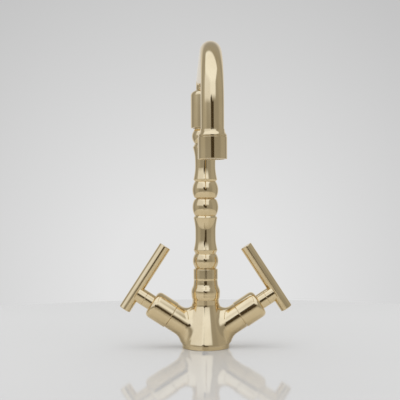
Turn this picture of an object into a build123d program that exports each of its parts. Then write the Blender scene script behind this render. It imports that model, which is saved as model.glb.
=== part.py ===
from build123d import *
import os
from math import cos, radians, sin, tan

# Single-hole kitchen faucet, millimetres. The origin is the centre of the foot on the deck, +Z is up,
# the spout points to -Y, the hot side is -X and the cold side is +X.

# Clearances
RUNNING = 0.05       # radial, for a shaft that turns or slides in its bore
THREAD_FIT = 0.05    # radial, between two screwed pieces
OPEN_GAP = 0.3       # between pieces on different bodies that never touch
SEAL_FIT = 0.04      # radial, from an O-ring to its groove and to its bore
LAP_FILM = 0.02      # between the two ceramic discs
GROOVE_SHARE = 1.4   # width of an O-ring's groove over its depth
OVERRUN = 1.0        # how far a cutter or a joined length passes the face that it crosses

# Body casting
FOOT_R = 25.0
FOOT_EDGE = 0.6
FOOT_SIDE_H = 5.0
WAIST_R = 19.5
WAIST_Z = 24.5
WAIST_BOW = 1.6
NECK_R = 14.0
NECK_START_Z = 43.0
NECK_BOW = -1.4
NECK_RISE = 14.5      # from the crotch between the neck and an arm to the neck's top
BODY_FILLET_R = 7.0

# Arms, one each side, with one cartridge valve each
ARM_ANGLE = 33.0
ARM_AXIS_Z = 10.0
ARM_R = 14.1
ARM_END_T = 43.4     # distances t run along the arm's axis from the column's axis
SPIGOT_R = 12.0
SPIGOT_L = 5.0
CHAMBER_R = 9.5
SEAT_T = 20.0
SEAT_PORT_R = 4.0
SEAT_PORT_T = 8.0

# Waterways and fixings in the casting
INLET_X = 8.5
INLET_Y = -5.0
INLET_R = 4.5
INLET_THREAD_L = 12.0
INLET_PORT_R = 3.0
INLET_PORT_TOP_Z = 17.0
STUD_Y = 9.0
STUD_R = 3.4
STUD_THREAD_L = 14.0
MIX_R = 6.5
MIX_FLOOR_Z = 28.0
TRANSFER_Z = 31.0
TRANSFER_R = 2.5
TRANSFER_X = 21.0

# Rubber ring under the foot
BASE_SEAL_R = 21.0
BASE_SEAL_W = 3.0
BASE_SEAL_H = 1.8
BASE_SEAL_RECESS = 0.2
BASE_GROOVE_DEPTH = 2.1

# Turned column, in two lengths that mirror each other about the deep groove
JOINT_H = 106.8
COLUMN_BORE_R = 6.0
FLARE_R = 15.0
FLARE_LOW_H = 4.6     # heights from here to the joint are above the neck's top
FLARE_LOW_BOW = 0.3
FLARE_TOP_H = 11.2
FLARE_TOP_BOW = 0.25
FLARE_END_H = 18.0
FLARE_END_BOW = -0.6
COLLAR_R = 12.85
COLLAR_DIP = 0.35
COLLAR_DIP_H = 20.6
COLLAR_LOW_H = 22.1
COLLAR_TOP_H = 32.1
DEEP_GROOVE_R = 10.1
LONG_BEAD_H = 17.6
LONG_BEAD_R = 13.75
BEAD_EDGE_R = 11.6
GROOVE_W = 0.9
GROOVE_R = 11.1
LIP_R = 12.7
LIP_FROM_JOINT = 20.4
WAIST_MIN_R = 10.65
WAIST_FROM_JOINT = 38.2
WAIST_HOLLOW = 0.3   # bow of a waist's side over its step in radius
OUTER_LIP_FROM_JOINT = 54.4
SHORT_GROOVE_FROM_JOINT = 58.0
SHORT_BEAD_H = 14.0
LOWER_SHORT_BEAD_R = 13.5
UPPER_SHORT_BEAD_R = 14.1
UPPER_OUTER_LIP_R = 13.2
FOOT_SOCKET_R = 9.0
FOOT_SOCKET_L = 10.0
MID_SOCKET_R = 8.0
MID_SOCKET_L = 10.0
SPIGOT_SHORT = 0.6   # a column spigot stops this far above its socket's floor
COLUMN_SEAL_GROOVE = 1.1
COLUMN_SEAL_UP = 2.6

# Spout joint on the column's top
NUT_R = 15.2
NUT_GAP = 1.6
NUT_H = 36.0
NUT_DOME_H = 4.5
NUT_DOME_BOW = 0.9
NUT_EDGE = 0.5
POST_FOOT_H = 1.0
POST_CHAMFER_H = 0.5
POST_THREAD_R = 12.5
POST_THREAD_L = 14.0
POST_SOCKET_R = 7.0
POST_SOCKET_L = 32.0
GLIDE_H = 1.2
FLANGE_RIM = 2.5     # wider than the tube by this, as a radius
FLANGE_H = 4.0
SPIGOT_BORE_R = 4.5
SPOUT_SEAL_DEPTH = 1.1
SPOUT_SEAL_PLACES = (7.0, 13.0)
SPIGOT_NOSE_L = 8.0

# Spout, a cast elbow and a bent tube
TUBE_R = 9.5
TUBE_WALL = 1.2
ELBOW_BORE_R = 7.0
ELBOW_BEND_R = 11.0
ELBOW_LEAD = 6.0
ELBOW_NOSE_L = 8.0
REACH = 205.0
FRONT_BEND_R = 52.0
OUTLET_DROP = 96.2   # from the level run's centre line to the outlet

# Outlet
FERRULE_RIM = 2.2    # wider than the tube by this, as a radius
FERRULE_LIP = 0.35
FERRULE_FLARE_H = 4.6
FERRULE_FLARE_BOW = -0.5
FERRULE_H = 6.0
FERRULE_STEP_H = 2.0
FERRULE_NOSE_L = 8.0
FERRULE_BORE_R = 8.0
HOUSING_R = 11.9
HOUSING_H = 18.0
HOUSING_WALL = 0.95
HOUSING_MOUTH_R = 9.6
HOUSING_LIP_H = 1.6
HOUSING_EDGE = 0.6
SEAM = 0.25
WASHER_H = 2.0
INSERT_R = 9.3
INSERT_WALL = 1.0
INSERT_FLANGE_H = 1.2
INSERT_UP = 0.8
GRID_H = 1.2
GRID_HOLE_R = 0.62
GRID_PITCH = 1.75
GRID_RINGS = 4
JET_HOLE_R = 0.6
JET_COUNT = 12
SCREEN_H = 0.4
SCREEN_PLACES = (2.4, 3.8)

# Valve cartridge, lengths along the arm's axis
SEAT_SEAL_H = 2.6
SEAT_SEAL_R = 7.0
DISC_R = 7.2
DISC_H = 3.0
DISC_WINDOW_R = 5.8
DISC_WINDOW_INNER_R = 1.6
DISC_WINDOW_ANGLE = 76.0
DISC_LUG_W = 2.4
DISC_LUG_OUT = 0.7
NOSE_R = 8.3
NOSE_WINDOW_W = 8.0
NOSE_WINDOW_H = 3.4
CARTRIDGE_THREAD_T = 34.0
CARTRIDGE_GROOVE_R = 7.9
HEX_FLATS = 20.0
HEX_H = 5.0
GLAND_R = 8.0
GLAND_L = 5.0
SPINDLE_R = 5.0
THRUST_R = 7.0
THRUST_H = 2.0
TANG_W = 2.4
TANG_H = 1.4
TANG_L = 10.0
SPINDLE_SEAL_DEPTH = 1.3
SPINDLE_SEAL_PLACES = (43.0, 47.0)
CIRCLIP_H = 0.8
CIRCLIP_GROOVE_R = 4.1
CIRCLIP_R = 6.6
CIRCLIP_OPENING = 3.4
CIRCLIP_UP = 0.6
SPLINE_R = 4.0
SPLINE_DEPTH = 0.35
SPLINE_TEETH = 20
SPLINE_L = 12.0
STOP_R = 6.6
STOP_L = 1.6
STOP_HALF_ANGLE = 9.0
TURN_ANGLE = 90.0
STOP_SLACK = 3.0

# Bonnet and handle
BONNET_RIM = 0.75    # wider than the arm by this, as a radius
BONNET_L = 25.1
BONNET_ROUND = 6.2
BONNET_ROUND_BOW = 2.05
BONNET_TOP_H = 3.4
BONNET_EDGE = 0.3
BONNET_SEAM_W = 0.3
HUB_R = 8.2
HUB_SUNK = 3.0
HUB_TO_BAR = 20.1    # from the bonnet's face to the bar's axis
SADDLE_L = 5.25      # of the saddle ring, short of the bar's near side
SADDLE_WRAP = 2.0    # the ring stops this far short of the bar's axis
HUB_EDGE = 0.4
HUB_BORE_DEPTH = 10.1
BAR_R = 6.35
BAR_LONG = 58.0
BAR_SHORT = 21.0
BAR_EDGE = 0.5
SCREW_R = 2.0
SCREW_HEAD_R = 3.5
SCREW_HEAD_H = 3.0
SCREW_BITE = 8.0
SCREW_KEY = 3.0
GRUB_R = 1.5
GRUB_FROM_FACE = 1.9
GRUB_KEY = 1.5
GRUB_RECESS = 0.3
KEY_DEPTH = 2.0

# Places that follow from the sizes above
SIDES = {"hot": (180.0, -1), "cold": (0.0, 1)}
CROTCH_Z = ARM_AXIS_Z + ARM_R / cos(radians(ARM_ANGLE)) + NECK_R * tan(radians(ARM_ANGLE))
NECK_TOP_Z = CROTCH_Z + NECK_RISE
JOINT_Z = NECK_TOP_Z + JOINT_H
SHOULDER_Z = JOINT_Z + SHORT_GROOVE_FROM_JOINT + GROOVE_W + SHORT_BEAD_H
NUT_LOW_Z = SHOULDER_Z + NUT_GAP
NUT_TOP_Z = NUT_LOW_Z + NUT_H + NUT_DOME_H
POST_TOP_Z = NUT_LOW_Z + POST_THREAD_L
FLANGE_LOW_Z = POST_TOP_Z + GLIDE_H
FLANGE_TOP_Z = FLANGE_LOW_Z + FLANGE_H
LIP_LOW_Z = FLANGE_TOP_Z + GLIDE_H + RUNNING
FLANGE_R = TUBE_R + FLANGE_RIM
FERRULE_R = TUBE_R + FERRULE_RIM
RUN_Z = NUT_TOP_Z + ELBOW_BEND_R
OUTLET_Z = RUN_Z - OUTLET_DROP
ELBOW_END_Y = -(ELBOW_BEND_R + ELBOW_LEAD)
HOUSING_TOP_Z = OUTLET_Z + HOUSING_H
FERRULE_LOW_Z = HOUSING_TOP_Z + SEAM
FERRULE_TOP_Z = FERRULE_LOW_Z + FERRULE_H
TUBE_END_Z = FERRULE_LOW_Z + FERRULE_STEP_H
NOSE_LOW_Z = FERRULE_LOW_Z - FERRULE_NOSE_L
INSERT_TOP_Z = NOSE_LOW_Z - WASHER_H
INSERT_LOW_Z = OUTLET_Z + INSERT_UP
FIXED_DISC_T = SEAT_T + SEAT_SEAL_H
MOVING_DISC_T = FIXED_DISC_T + DISC_H + LAP_FILM
THRUST_T = MOVING_DISC_T + DISC_H + RUNNING
GLAND_FLOOR_T = THRUST_T + THRUST_H + RUNNING
ARM_TOP_T = ARM_END_T + SPIGOT_L
HEX_TOP_T = ARM_TOP_T + HEX_H
GLAND_TOP_T = HEX_TOP_T + GLAND_L
CIRCLIP_T = GLAND_TOP_T + CIRCLIP_UP
SPINDLE_TOP_T = CIRCLIP_T + CIRCLIP_H + SPLINE_L
BONNET_R = ARM_R + BONNET_RIM
BONNET_FACE_T = ARM_END_T + BONNET_L
BAR_T = BONNET_FACE_T + HUB_TO_BAR
HUB_LOW_T = BONNET_FACE_T - HUB_SUNK
RING_LOW_T = BAR_T - BAR_R - SADDLE_L
RING_TOP_T = BAR_T - SADDLE_WRAP
HUB_FLOOR_T = HUB_LOW_T + HUB_BORE_DEPTH


def turned(*outline):
    """Solid turned about Z. Each point is (r, z); a third value bows the line that reaches it outwards."""
    edges = []
    for start, end in zip(outline, outline[1:] + outline[:1]):
        a = Vector(start[0], 0, start[1])
        b = Vector(end[0], 0, end[1])
        if len(end) == 3:
            edges.append(ThreePointArc(a, (a + b) / 2 + Vector(end[2], 0, 0), b))
        else:
            edges.append(Line(a, b))
    return revolve(make_face(edges), Axis.Z)


def rod(radius, low, high):
    """Plain cylinder about Z between two heights."""
    return Pos(0, 0, low) * extrude(Circle(radius), high - low)


def ring(outer, inner, low, high):
    """Plain ring about Z between two heights."""
    return rod(outer, low, high) - rod(inner, low, high)


def o_ring(bore, groove, height):
    """Rubber ring about Z that fills the space from a groove's floor to the bore around it."""
    section = (bore - groove) / 2 - SEAL_FIT
    return Pos(0, 0, height) * Torus((bore + groove) / 2, section)


def seal_groove(outside, groove, width, height):
    """Cutter for an O-ring's groove about Z, centred at a height."""
    return ring(outside + OVERRUN, groove, height - width / 2, height + width / 2)


def sector(radius, low, high, middle, angle):
    """Wedge about Z, from the axis to a radius, centred on an angle in the XY plane."""
    start = radians(middle - angle / 2)
    end = radians(middle + angle / 2)
    halfway = radians(middle)
    first = Vector(radius * cos(start), radius * sin(start))
    last = Vector(radius * cos(end), radius * sin(end))
    arc = ThreePointArc(first, Vector(radius * cos(halfway), radius * sin(halfway)), last)
    face = make_face([Line(Vector(0, 0), first), arc, Line(last, Vector(0, 0))])
    return extrude(Pos(0, 0, low) * face, high - low)


def on_arm(side, piece):
    """Moves a piece from the arm's own frame, with Z outwards along its axis, to its side of the faucet."""
    tilt = radians(ARM_ANGLE)
    outwards = (cos(tilt), 0, sin(tilt))
    arm = Plane(origin=(0, 0, ARM_AXIS_Z), x_dir=(-sin(tilt), 0, cos(tilt)), z_dir=outwards)
    return Rot(0, 0, SIDES[side][0]) * arm.location * piece


def save(name, piece):
    """Writes one sub-part."""
    export_step(piece, f"parts/{name}.step")


def group(solids):
    """Several like solids as one sub-part."""
    return Compound(children=list(solids))


# Body casting and what stands on the deck

def casting_outside():
    """The foot, waist and neck with both arms, blended where they meet."""
    trunk = turned(
        (0, 0), (FOOT_R - FOOT_EDGE, 0), (FOOT_R, FOOT_EDGE), (FOOT_R, FOOT_SIDE_H),
        (WAIST_R, WAIST_Z, WAIST_BOW), (NECK_R, NECK_START_Z, NECK_BOW), (NECK_R, NECK_TOP_Z),
        (0, NECK_TOP_Z))
    arms = on_arm("hot", rod(ARM_R, 0, ARM_END_T)) + on_arm("cold", rod(ARM_R, 0, ARM_END_T))
    arms -= Pos(0, 0, -FOOT_R) * Box(4 * FOOT_R, 4 * FOOT_R, 2 * FOOT_R)
    meetings = []
    for edge in (trunk + arms).edges():
        if edge.geom_type not in (GeomType.CIRCLE, GeomType.LINE) and edge.center().Z > FOOT_EDGE:
            meetings.append(edge)
    return fillet(meetings, BODY_FILLET_R)


def base_body():
    """Brass casting with valve chambers, seats, waterways, threaded inlets and the stud's hole."""
    body = casting_outside()
    for side, (_, across) in SIDES.items():
        body += on_arm(side, rod(SPIGOT_R, ARM_END_T - OVERRUN, ARM_TOP_T))
        body -= on_arm(side, rod(CHAMBER_R, SEAT_T, ARM_TOP_T + OVERRUN))
        body -= on_arm(side, rod(SEAT_PORT_R, SEAT_PORT_T, SEAT_T + OVERRUN))
        body -= Pos(across * INLET_X, INLET_Y, 0) * rod(INLET_R, -OVERRUN, INLET_THREAD_L)
        body -= Pos(across * INLET_X, INLET_Y, 0) * rod(INLET_PORT_R, 0, INLET_PORT_TOP_Z)
    body -= Pos(0, STUD_Y, 0) * rod(STUD_R, -OVERRUN, STUD_THREAD_L)
    body -= rod(MIX_R, MIX_FLOOR_Z, NECK_TOP_Z)
    body -= rod(FOOT_SOCKET_R, NECK_TOP_Z - FOOT_SOCKET_L, NECK_TOP_Z + OVERRUN)
    body -= Pos(0, 0, TRANSFER_Z) * Rot(0, 90, 0) * rod(TRANSFER_R, -TRANSFER_X, TRANSFER_X)
    body -= ring(BASE_SEAL_R + BASE_SEAL_W / 2, BASE_SEAL_R - BASE_SEAL_W / 2, -OVERRUN, BASE_GROOVE_DEPTH)
    return body


def base_seal():
    """Rubber ring, drawn as pressed, just inside its groove."""
    half = BASE_SEAL_W / 2 - SEAL_FIT
    return ring(BASE_SEAL_R + half, BASE_SEAL_R - half, BASE_SEAL_RECESS, BASE_SEAL_RECESS + BASE_SEAL_H)


# Turned column

def bamboo(way, short_bead_r, outer_lip_r):
    """Outline from the deep groove to the end of the short bead. way is 1 upwards and -1 downwards."""
    long_end = LONG_BEAD_H
    short_start = SHORT_GROOVE_FROM_JOINT + GROOVE_W
    bead_bow = LONG_BEAD_R - BEAD_EDGE_R
    short_bow = short_bead_r - BEAD_EDGE_R
    waist_bow = (WAIST_MIN_R - LIP_R) * WAIST_HOLLOW
    points = [
        (DEEP_GROOVE_R, 0), (BEAD_EDGE_R, GROOVE_W / 2), (BEAD_EDGE_R, long_end, bead_bow),
        (GROOVE_R, long_end + GROOVE_W / 2), (LIP_R, LIP_FROM_JOINT),
        (WAIST_MIN_R, WAIST_FROM_JOINT, waist_bow), (outer_lip_r, OUTER_LIP_FROM_JOINT, waist_bow),
        (GROOVE_R, SHORT_GROOVE_FROM_JOINT), (GROOVE_R, short_start - GROOVE_W / 2),
        (BEAD_EDGE_R, short_start), (BEAD_EDGE_R, short_start + SHORT_BEAD_H, short_bow)]
    placed = []
    for r, along, *bow in points:
        placed.append((r, JOINT_Z + way * along, *bow))
    return placed


def downwards(outline):
    """The same outline walked from its far end, so that each bow stays on its own stretch."""
    walked = []
    for index in range(len(outline) - 1, -1, -1):
        r, z = outline[index][:2]
        bow = outline[index + 1][2:] if index + 1 < len(outline) else ()
        walked.append((r, z, *bow))
    return walked


def column_spigot(bore, length, face_z):
    """Screwed spigot that hangs below a column length's lower face, with its O-ring's groove."""
    radius = bore - THREAD_FIT
    floor_z = face_z - length
    spigot = ring(radius, COLUMN_BORE_R, floor_z + SPIGOT_SHORT, face_z + OVERRUN)
    groove = bore - COLUMN_SEAL_GROOVE
    return spigot - seal_groove(radius, groove, GROOVE_SHARE * COLUMN_SEAL_GROOVE, floor_z + COLUMN_SEAL_UP)


def lower_column():
    """Flared foot, collar and the lower bamboo length, bored for the water."""
    flared = [
        (COLUMN_BORE_R, 0), (NECK_R, 0), (FLARE_R, FLARE_LOW_H, FLARE_LOW_BOW),
        (FLARE_R, FLARE_TOP_H, FLARE_TOP_BOW), (COLLAR_R, FLARE_END_H, FLARE_END_BOW),
        (COLLAR_R - COLLAR_DIP, COLLAR_DIP_H), (COLLAR_R, COLLAR_LOW_H), (COLLAR_R, COLLAR_TOP_H),
        (GROOVE_R, COLLAR_TOP_H + GROOVE_W)]
    outline = [(r, NECK_TOP_Z + height, *bow) for r, height, *bow in flared]
    outline += downwards(bamboo(-1, LOWER_SHORT_BEAD_R, LIP_R))
    outline.append((COLUMN_BORE_R, JOINT_Z))
    column = turned(*outline)
    column -= rod(MID_SOCKET_R, JOINT_Z - MID_SOCKET_L, JOINT_Z + OVERRUN)
    return column + column_spigot(FOOT_SOCKET_R, FOOT_SOCKET_L, NECK_TOP_Z)


def upper_column():
    """Upper bamboo length and the threaded post that carries the spout."""
    upper = bamboo(1, UPPER_SHORT_BEAD_R, UPPER_OUTER_LIP_R)
    thread_r = POST_THREAD_R - THREAD_FIT
    foot_z = NUT_LOW_Z + POST_FOOT_H
    outline = [
        (COLUMN_BORE_R, JOINT_Z), *upper, (BEAD_EDGE_R, foot_z), (thread_r, foot_z + POST_CHAMFER_H),
        (thread_r, POST_TOP_Z), (COLUMN_BORE_R, POST_TOP_Z)]
    column = turned(*outline)
    column -= rod(POST_SOCKET_R, POST_TOP_Z - POST_SOCKET_L, POST_TOP_Z + OVERRUN)
    return column + column_spigot(MID_SOCKET_R, MID_SOCKET_L, JOINT_Z)


def column_seals():
    """One O-ring for each screwed joint of the column."""
    sockets = [(FOOT_SOCKET_R, NECK_TOP_Z - FOOT_SOCKET_L), (MID_SOCKET_R, JOINT_Z - MID_SOCKET_L)]
    rings = []
    for bore, floor_z in sockets:
        rings.append(o_ring(bore, bore - COLUMN_SEAL_GROOVE, floor_z + COLUMN_SEAL_UP))
    return group(rings)


def spout_nut():
    """Plain collar screwed on the post. Its domed top holds the spout's flange down."""
    neck = TUBE_R + OPEN_GAP
    shoulder_z = NUT_LOW_Z + NUT_H
    cavity = FLANGE_R + OPEN_GAP
    return turned(
        (POST_THREAD_R, NUT_LOW_Z), (NUT_R - NUT_EDGE, NUT_LOW_Z), (NUT_R, NUT_LOW_Z + NUT_EDGE),
        (NUT_R, shoulder_z), (neck, NUT_TOP_Z, NUT_DOME_BOW), (neck, LIP_LOW_Z), (cavity, LIP_LOW_Z),
        (cavity, POST_TOP_Z), (POST_THREAD_R, POST_TOP_Z))


# Spout

def glide_ring(inner, low):
    """Low-friction ring that the spout's flange turns on."""
    return ring(FLANGE_R - OPEN_GAP, inner, low, low + GLIDE_H)


def spout_spigot():
    """Turned brass end that seals in the post and carries the flange."""
    low = POST_TOP_Z - POST_SOCKET_L + SPIGOT_SHORT
    running = POST_SOCKET_R - RUNNING
    spigot = ring(running, SPIGOT_BORE_R, low, FLANGE_LOW_Z)
    spigot += ring(FLANGE_R, SPIGOT_BORE_R, FLANGE_LOW_Z, FLANGE_TOP_Z)
    spigot += ring(ELBOW_BORE_R - THREAD_FIT, SPIGOT_BORE_R, FLANGE_TOP_Z, FLANGE_TOP_Z + SPIGOT_NOSE_L)
    for place in SPOUT_SEAL_PLACES:
        groove = POST_SOCKET_R - SPOUT_SEAL_DEPTH
        spigot -= seal_groove(running, groove, GROOVE_SHARE * SPOUT_SEAL_DEPTH, low + place)
    return spigot


def spigot_seals():
    """The two O-rings that the spout turns on."""
    low = POST_TOP_Z - POST_SOCKET_L + SPIGOT_SHORT
    groove = POST_SOCKET_R - SPOUT_SEAL_DEPTH
    return group(o_ring(POST_SOCKET_R, groove, low + place) for place in SPOUT_SEAL_PLACES)


def bent_bar(path, radius):
    """Round bar swept along a path of straights and tangent arcs."""
    start = Plane(origin=path @ 0, z_dir=path % 0)
    return sweep(start * Circle(radius), path=path)


def spout_elbow():
    """Cast elbow over the spigot's nose, with a reduced nose for the tube."""
    rise = Line((0, 0, FLANGE_TOP_Z), (0, 0, NUT_TOP_Z))
    turn = ThreePointArc(
        (0, 0, NUT_TOP_Z),
        (0, -ELBOW_BEND_R * (1 - cos(radians(45))), NUT_TOP_Z + ELBOW_BEND_R * sin(radians(45))),
        (0, -ELBOW_BEND_R, RUN_Z))
    lead = Line((0, -ELBOW_BEND_R, RUN_Z), (0, ELBOW_END_Y, RUN_Z))
    nose = Line((0, -ELBOW_BEND_R, RUN_Z), (0, ELBOW_END_Y - ELBOW_NOSE_L, RUN_Z))
    outside = bent_bar(Wire([rise, turn, lead]), TUBE_R)
    outside += bent_bar(Wire([nose]), TUBE_R - TUBE_WALL - THREAD_FIT)
    return outside - bent_bar(Wire([rise, turn, nose]), ELBOW_BORE_R)


def tube_path():
    """Level run, front bend and down leg of the tube."""
    bend_start_y = -(REACH - FRONT_BEND_R)
    bend_end_z = RUN_Z - FRONT_BEND_R
    middle_y = bend_start_y - FRONT_BEND_R * sin(radians(45))
    middle_z = bend_end_z + FRONT_BEND_R * cos(radians(45))
    run = Line((0, ELBOW_END_Y, RUN_Z), (0, bend_start_y, RUN_Z))
    bend = ThreePointArc((0, bend_start_y, RUN_Z), (0, middle_y, middle_z), (0, -REACH, bend_end_z))
    leg = Line((0, -REACH, bend_end_z), (0, -REACH, TUBE_END_Z))
    return Wire([run, bend, leg])


def spout_tube():
    """Drawn brass tube from the elbow to the ferrule."""
    path = tube_path()
    return bent_bar(path, TUBE_R) - bent_bar(path, TUBE_R - TUBE_WALL)


def spout_ferrule():
    """Flared end brazed on the tube, with the aerator's thread below."""
    seat = TUBE_R + THREAD_FIT
    nose = HOUSING_R - HOUSING_WALL - THREAD_FIT
    flare_z = FERRULE_LOW_Z + FERRULE_H - FERRULE_FLARE_H
    return Pos(0, -REACH, 0) * turned(
        (FERRULE_BORE_R, NOSE_LOW_Z), (nose, NOSE_LOW_Z), (nose, FERRULE_LOW_Z), (FERRULE_R, FERRULE_LOW_Z),
        (FERRULE_R, flare_z), (seat + FERRULE_LIP, FERRULE_TOP_Z, FERRULE_FLARE_BOW), (seat, FERRULE_TOP_Z),
        (seat, TUBE_END_Z), (FERRULE_BORE_R, TUBE_END_Z))


# Aerator

def aerator_housing():
    """Plain cap screwed on the ferrule, with an inward lip that holds the insert."""
    inside = HOUSING_R - HOUSING_WALL
    return Pos(0, -REACH, 0) * turned(
        (HOUSING_MOUTH_R, OUTLET_Z), (HOUSING_R - HOUSING_EDGE, OUTLET_Z),
        (HOUSING_R, OUTLET_Z + HOUSING_EDGE), (HOUSING_R, HOUSING_TOP_Z - HOUSING_EDGE / 2),
        (HOUSING_R - HOUSING_EDGE / 2, HOUSING_TOP_Z), (inside, HOUSING_TOP_Z),
        (inside, OUTLET_Z + HOUSING_LIP_H + INSERT_FLANGE_H), (HOUSING_MOUTH_R, OUTLET_Z + HOUSING_LIP_H))


def aerator_washer():
    """Rubber ring between the ferrule's end and the insert."""
    outer = HOUSING_R - HOUSING_WALL - 2 * SEAL_FIT
    return Pos(0, -REACH, 0) * ring(outer, FERRULE_BORE_R, INSERT_TOP_Z, NOSE_LOW_Z)


def grid_places():
    """Centres of the outlet's holes: a middle one and rings of six, twelve and so on."""
    places = [(0.0, 0.0)]
    for count in range(1, GRID_RINGS + 1):
        for corner in range(6):
            here = radians(60 * corner)
            there = radians(60 * (corner + 1))
            for step in range(count):
                share = step / count
                x = GRID_PITCH * count * ((1 - share) * cos(here) + share * cos(there))
                y = GRID_PITCH * count * ((1 - share) * sin(here) + share * sin(there))
                places.append((x, y))
    return places


def aerator_insert():
    """Moulded cup with a ring of jets on top and the outlet's grid below."""
    inner = INSERT_R - INSERT_WALL
    flange = HOUSING_R - HOUSING_WALL - 2 * SEAL_FIT
    cup = ring(INSERT_R, inner, INSERT_LOW_Z, INSERT_TOP_Z)
    cup += rod(flange, INSERT_TOP_Z - INSERT_FLANGE_H, INSERT_TOP_Z)
    jet_r = (inner + INSERT_WALL) / 2
    jets = [loc * Circle(JET_HOLE_R) for loc in PolarLocations(jet_r, JET_COUNT)]
    cup -= Pos(0, 0, INSERT_TOP_Z - INSERT_FLANGE_H) * extrude(Sketch() + jets, INSERT_FLANGE_H)
    grid = Circle(inner + INSERT_WALL / 2) - [Pos(x, y) * Circle(GRID_HOLE_R) for x, y in grid_places()]
    cup += Pos(0, 0, INSERT_LOW_Z) * extrude(grid, GRID_H)
    return Pos(0, -REACH, 0) * cup


def aerator_screens():
    """Thin gauze discs stacked in the insert."""
    radius = INSERT_R - INSERT_WALL - SEAL_FIT
    discs = []
    for place in SCREEN_PLACES:
        low = INSERT_LOW_Z + place
        discs.append(Pos(0, -REACH, 0) * rod(radius, low, low + SCREEN_H))
    return group(discs)


# Valve on an arm, in the arm's own frame

def seat_seal():
    """Rubber ring between the casting's seat and the fixed disc."""
    return ring(SEAT_SEAL_R, SEAT_PORT_R + OPEN_GAP, SEAT_T, FIXED_DISC_T)


def disc_windows(low, middle):
    """Cutter for a ceramic disc's two water windows."""
    cutter = sector(DISC_WINDOW_R, low - OVERRUN, low + DISC_H + OVERRUN, middle, DISC_WINDOW_ANGLE)
    cutter += sector(DISC_WINDOW_R, low - OVERRUN, low + DISC_H + OVERRUN, middle + 180, DISC_WINDOW_ANGLE)
    return cutter - rod(DISC_WINDOW_INNER_R, low - 2 * OVERRUN, low + DISC_H + 2 * OVERRUN)


def fixed_disc():
    """Ceramic disc keyed to the cartridge by two lugs."""
    disc = rod(DISC_R, FIXED_DISC_T, FIXED_DISC_T + DISC_H)
    lugs = Pos(0, 0, FIXED_DISC_T + DISC_H / 2) * Box(2 * (DISC_R + DISC_LUG_OUT), DISC_LUG_W, DISC_H)
    return disc + lugs - disc_windows(FIXED_DISC_T, 0)


def moving_disc():
    """Ceramic disc that the spindle's tang turns. At rest it covers the fixed disc's windows."""
    disc = rod(DISC_R, MOVING_DISC_T, MOVING_DISC_T + DISC_H) - disc_windows(MOVING_DISC_T, 90)
    slot = Box(TANG_L + 2 * RUNNING, TANG_W + 2 * RUNNING, 2 * (TANG_H + RUNNING))
    return disc - Pos(0, 0, MOVING_DISC_T + DISC_H) * slot


def cartridge_body(side):
    """Brass shell of the valve: slotted nose, thread, hexagon and gland."""
    inside = DISC_R + RUNNING
    thread_r = CHAMBER_R - THREAD_FIT
    nose_low = SEAT_T + SEAT_SEAL_H / 2
    shell = rod(NOSE_R, nose_low, CARTRIDGE_THREAD_T) + rod(thread_r, CARTRIDGE_THREAD_T, ARM_TOP_T)
    shell += Pos(0, 0, ARM_TOP_T) * extrude(RegularPolygon(HEX_FLATS / 2, 6, major_radius=False), HEX_H)
    shell += rod(GLAND_R, HEX_TOP_T, GLAND_TOP_T)
    shell -= rod(inside, nose_low - OVERRUN, GLAND_FLOOR_T)
    shell -= rod(SPINDLE_R + RUNNING, nose_low, GLAND_TOP_T + OVERRUN)
    lug = Box(2 * NOSE_R + OVERRUN, DISC_LUG_W + 2 * RUNNING, MOVING_DISC_T - nose_low)
    shell -= Pos(0, 0, (nose_low + MOVING_DISC_T) / 2) * lug
    window = Box(NOSE_WINDOW_W, 2 * NOSE_R + OVERRUN, NOSE_WINDOW_H)
    shell -= Pos(0, 0, MOVING_DISC_T + NOSE_WINDOW_H / 2) * window
    groove = CARTRIDGE_GROOVE_R
    shell -= seal_groove(thread_r, groove, GROOVE_SHARE * (CHAMBER_R - groove), ARM_END_T)
    sweep_angle = TURN_ANGLE + 2 * (STOP_HALF_ANGLE + STOP_SLACK)
    middle = SIDES[side][1] * TURN_ANGLE / 2
    recess_low = GLAND_TOP_T - STOP_L - OPEN_GAP
    return shell - sector(STOP_R + OPEN_GAP, recess_low, GLAND_TOP_T + OVERRUN, middle, sweep_angle)


def cartridge_seal():
    """O-ring between the cartridge and the arm."""
    return o_ring(CHAMBER_R, CARTRIDGE_GROOVE_R, ARM_END_T)


def spline(low, high):
    """Toothed end of the spindle."""
    teeth = rod(SPLINE_R, low, high)
    notch = Rot(0, 0, 45) * Box(SPLINE_DEPTH, SPLINE_DEPTH, high - low + OVERRUN)
    notch = Pos(SPLINE_R, 0, (low + high) / 2) * notch
    return teeth - [Rot(0, 0, 360 * tooth / SPLINE_TEETH) * notch for tooth in range(SPLINE_TEETH)]


def spindle():
    """Shaft with the tang, thrust flange, O-ring grooves, stop lug, circlip groove and spline."""
    shaft = rod(SPINDLE_R, THRUST_T + THRUST_H, CIRCLIP_T + CIRCLIP_H + CIRCLIP_UP)
    shaft += rod(THRUST_R, THRUST_T, THRUST_T + THRUST_H)
    shaft += Pos(0, 0, THRUST_T - (TANG_H - RUNNING) / 2) * Box(TANG_L, TANG_W, TANG_H - RUNNING)
    shaft += sector(STOP_R, GLAND_TOP_T - STOP_L, GLAND_TOP_T, 0, 2 * STOP_HALF_ANGLE)
    for place in SPINDLE_SEAL_PLACES:
        groove = SPINDLE_R - SPINDLE_SEAL_DEPTH
        shaft -= seal_groove(SPINDLE_R, groove, GROOVE_SHARE * SPINDLE_SEAL_DEPTH, place)
    clip_top = CIRCLIP_T + CIRCLIP_H
    shaft -= ring(SPINDLE_R + OVERRUN, CIRCLIP_GROOVE_R, CIRCLIP_T - RUNNING, clip_top + RUNNING)
    return shaft + spline(clip_top + CIRCLIP_UP, SPINDLE_TOP_T)


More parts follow.
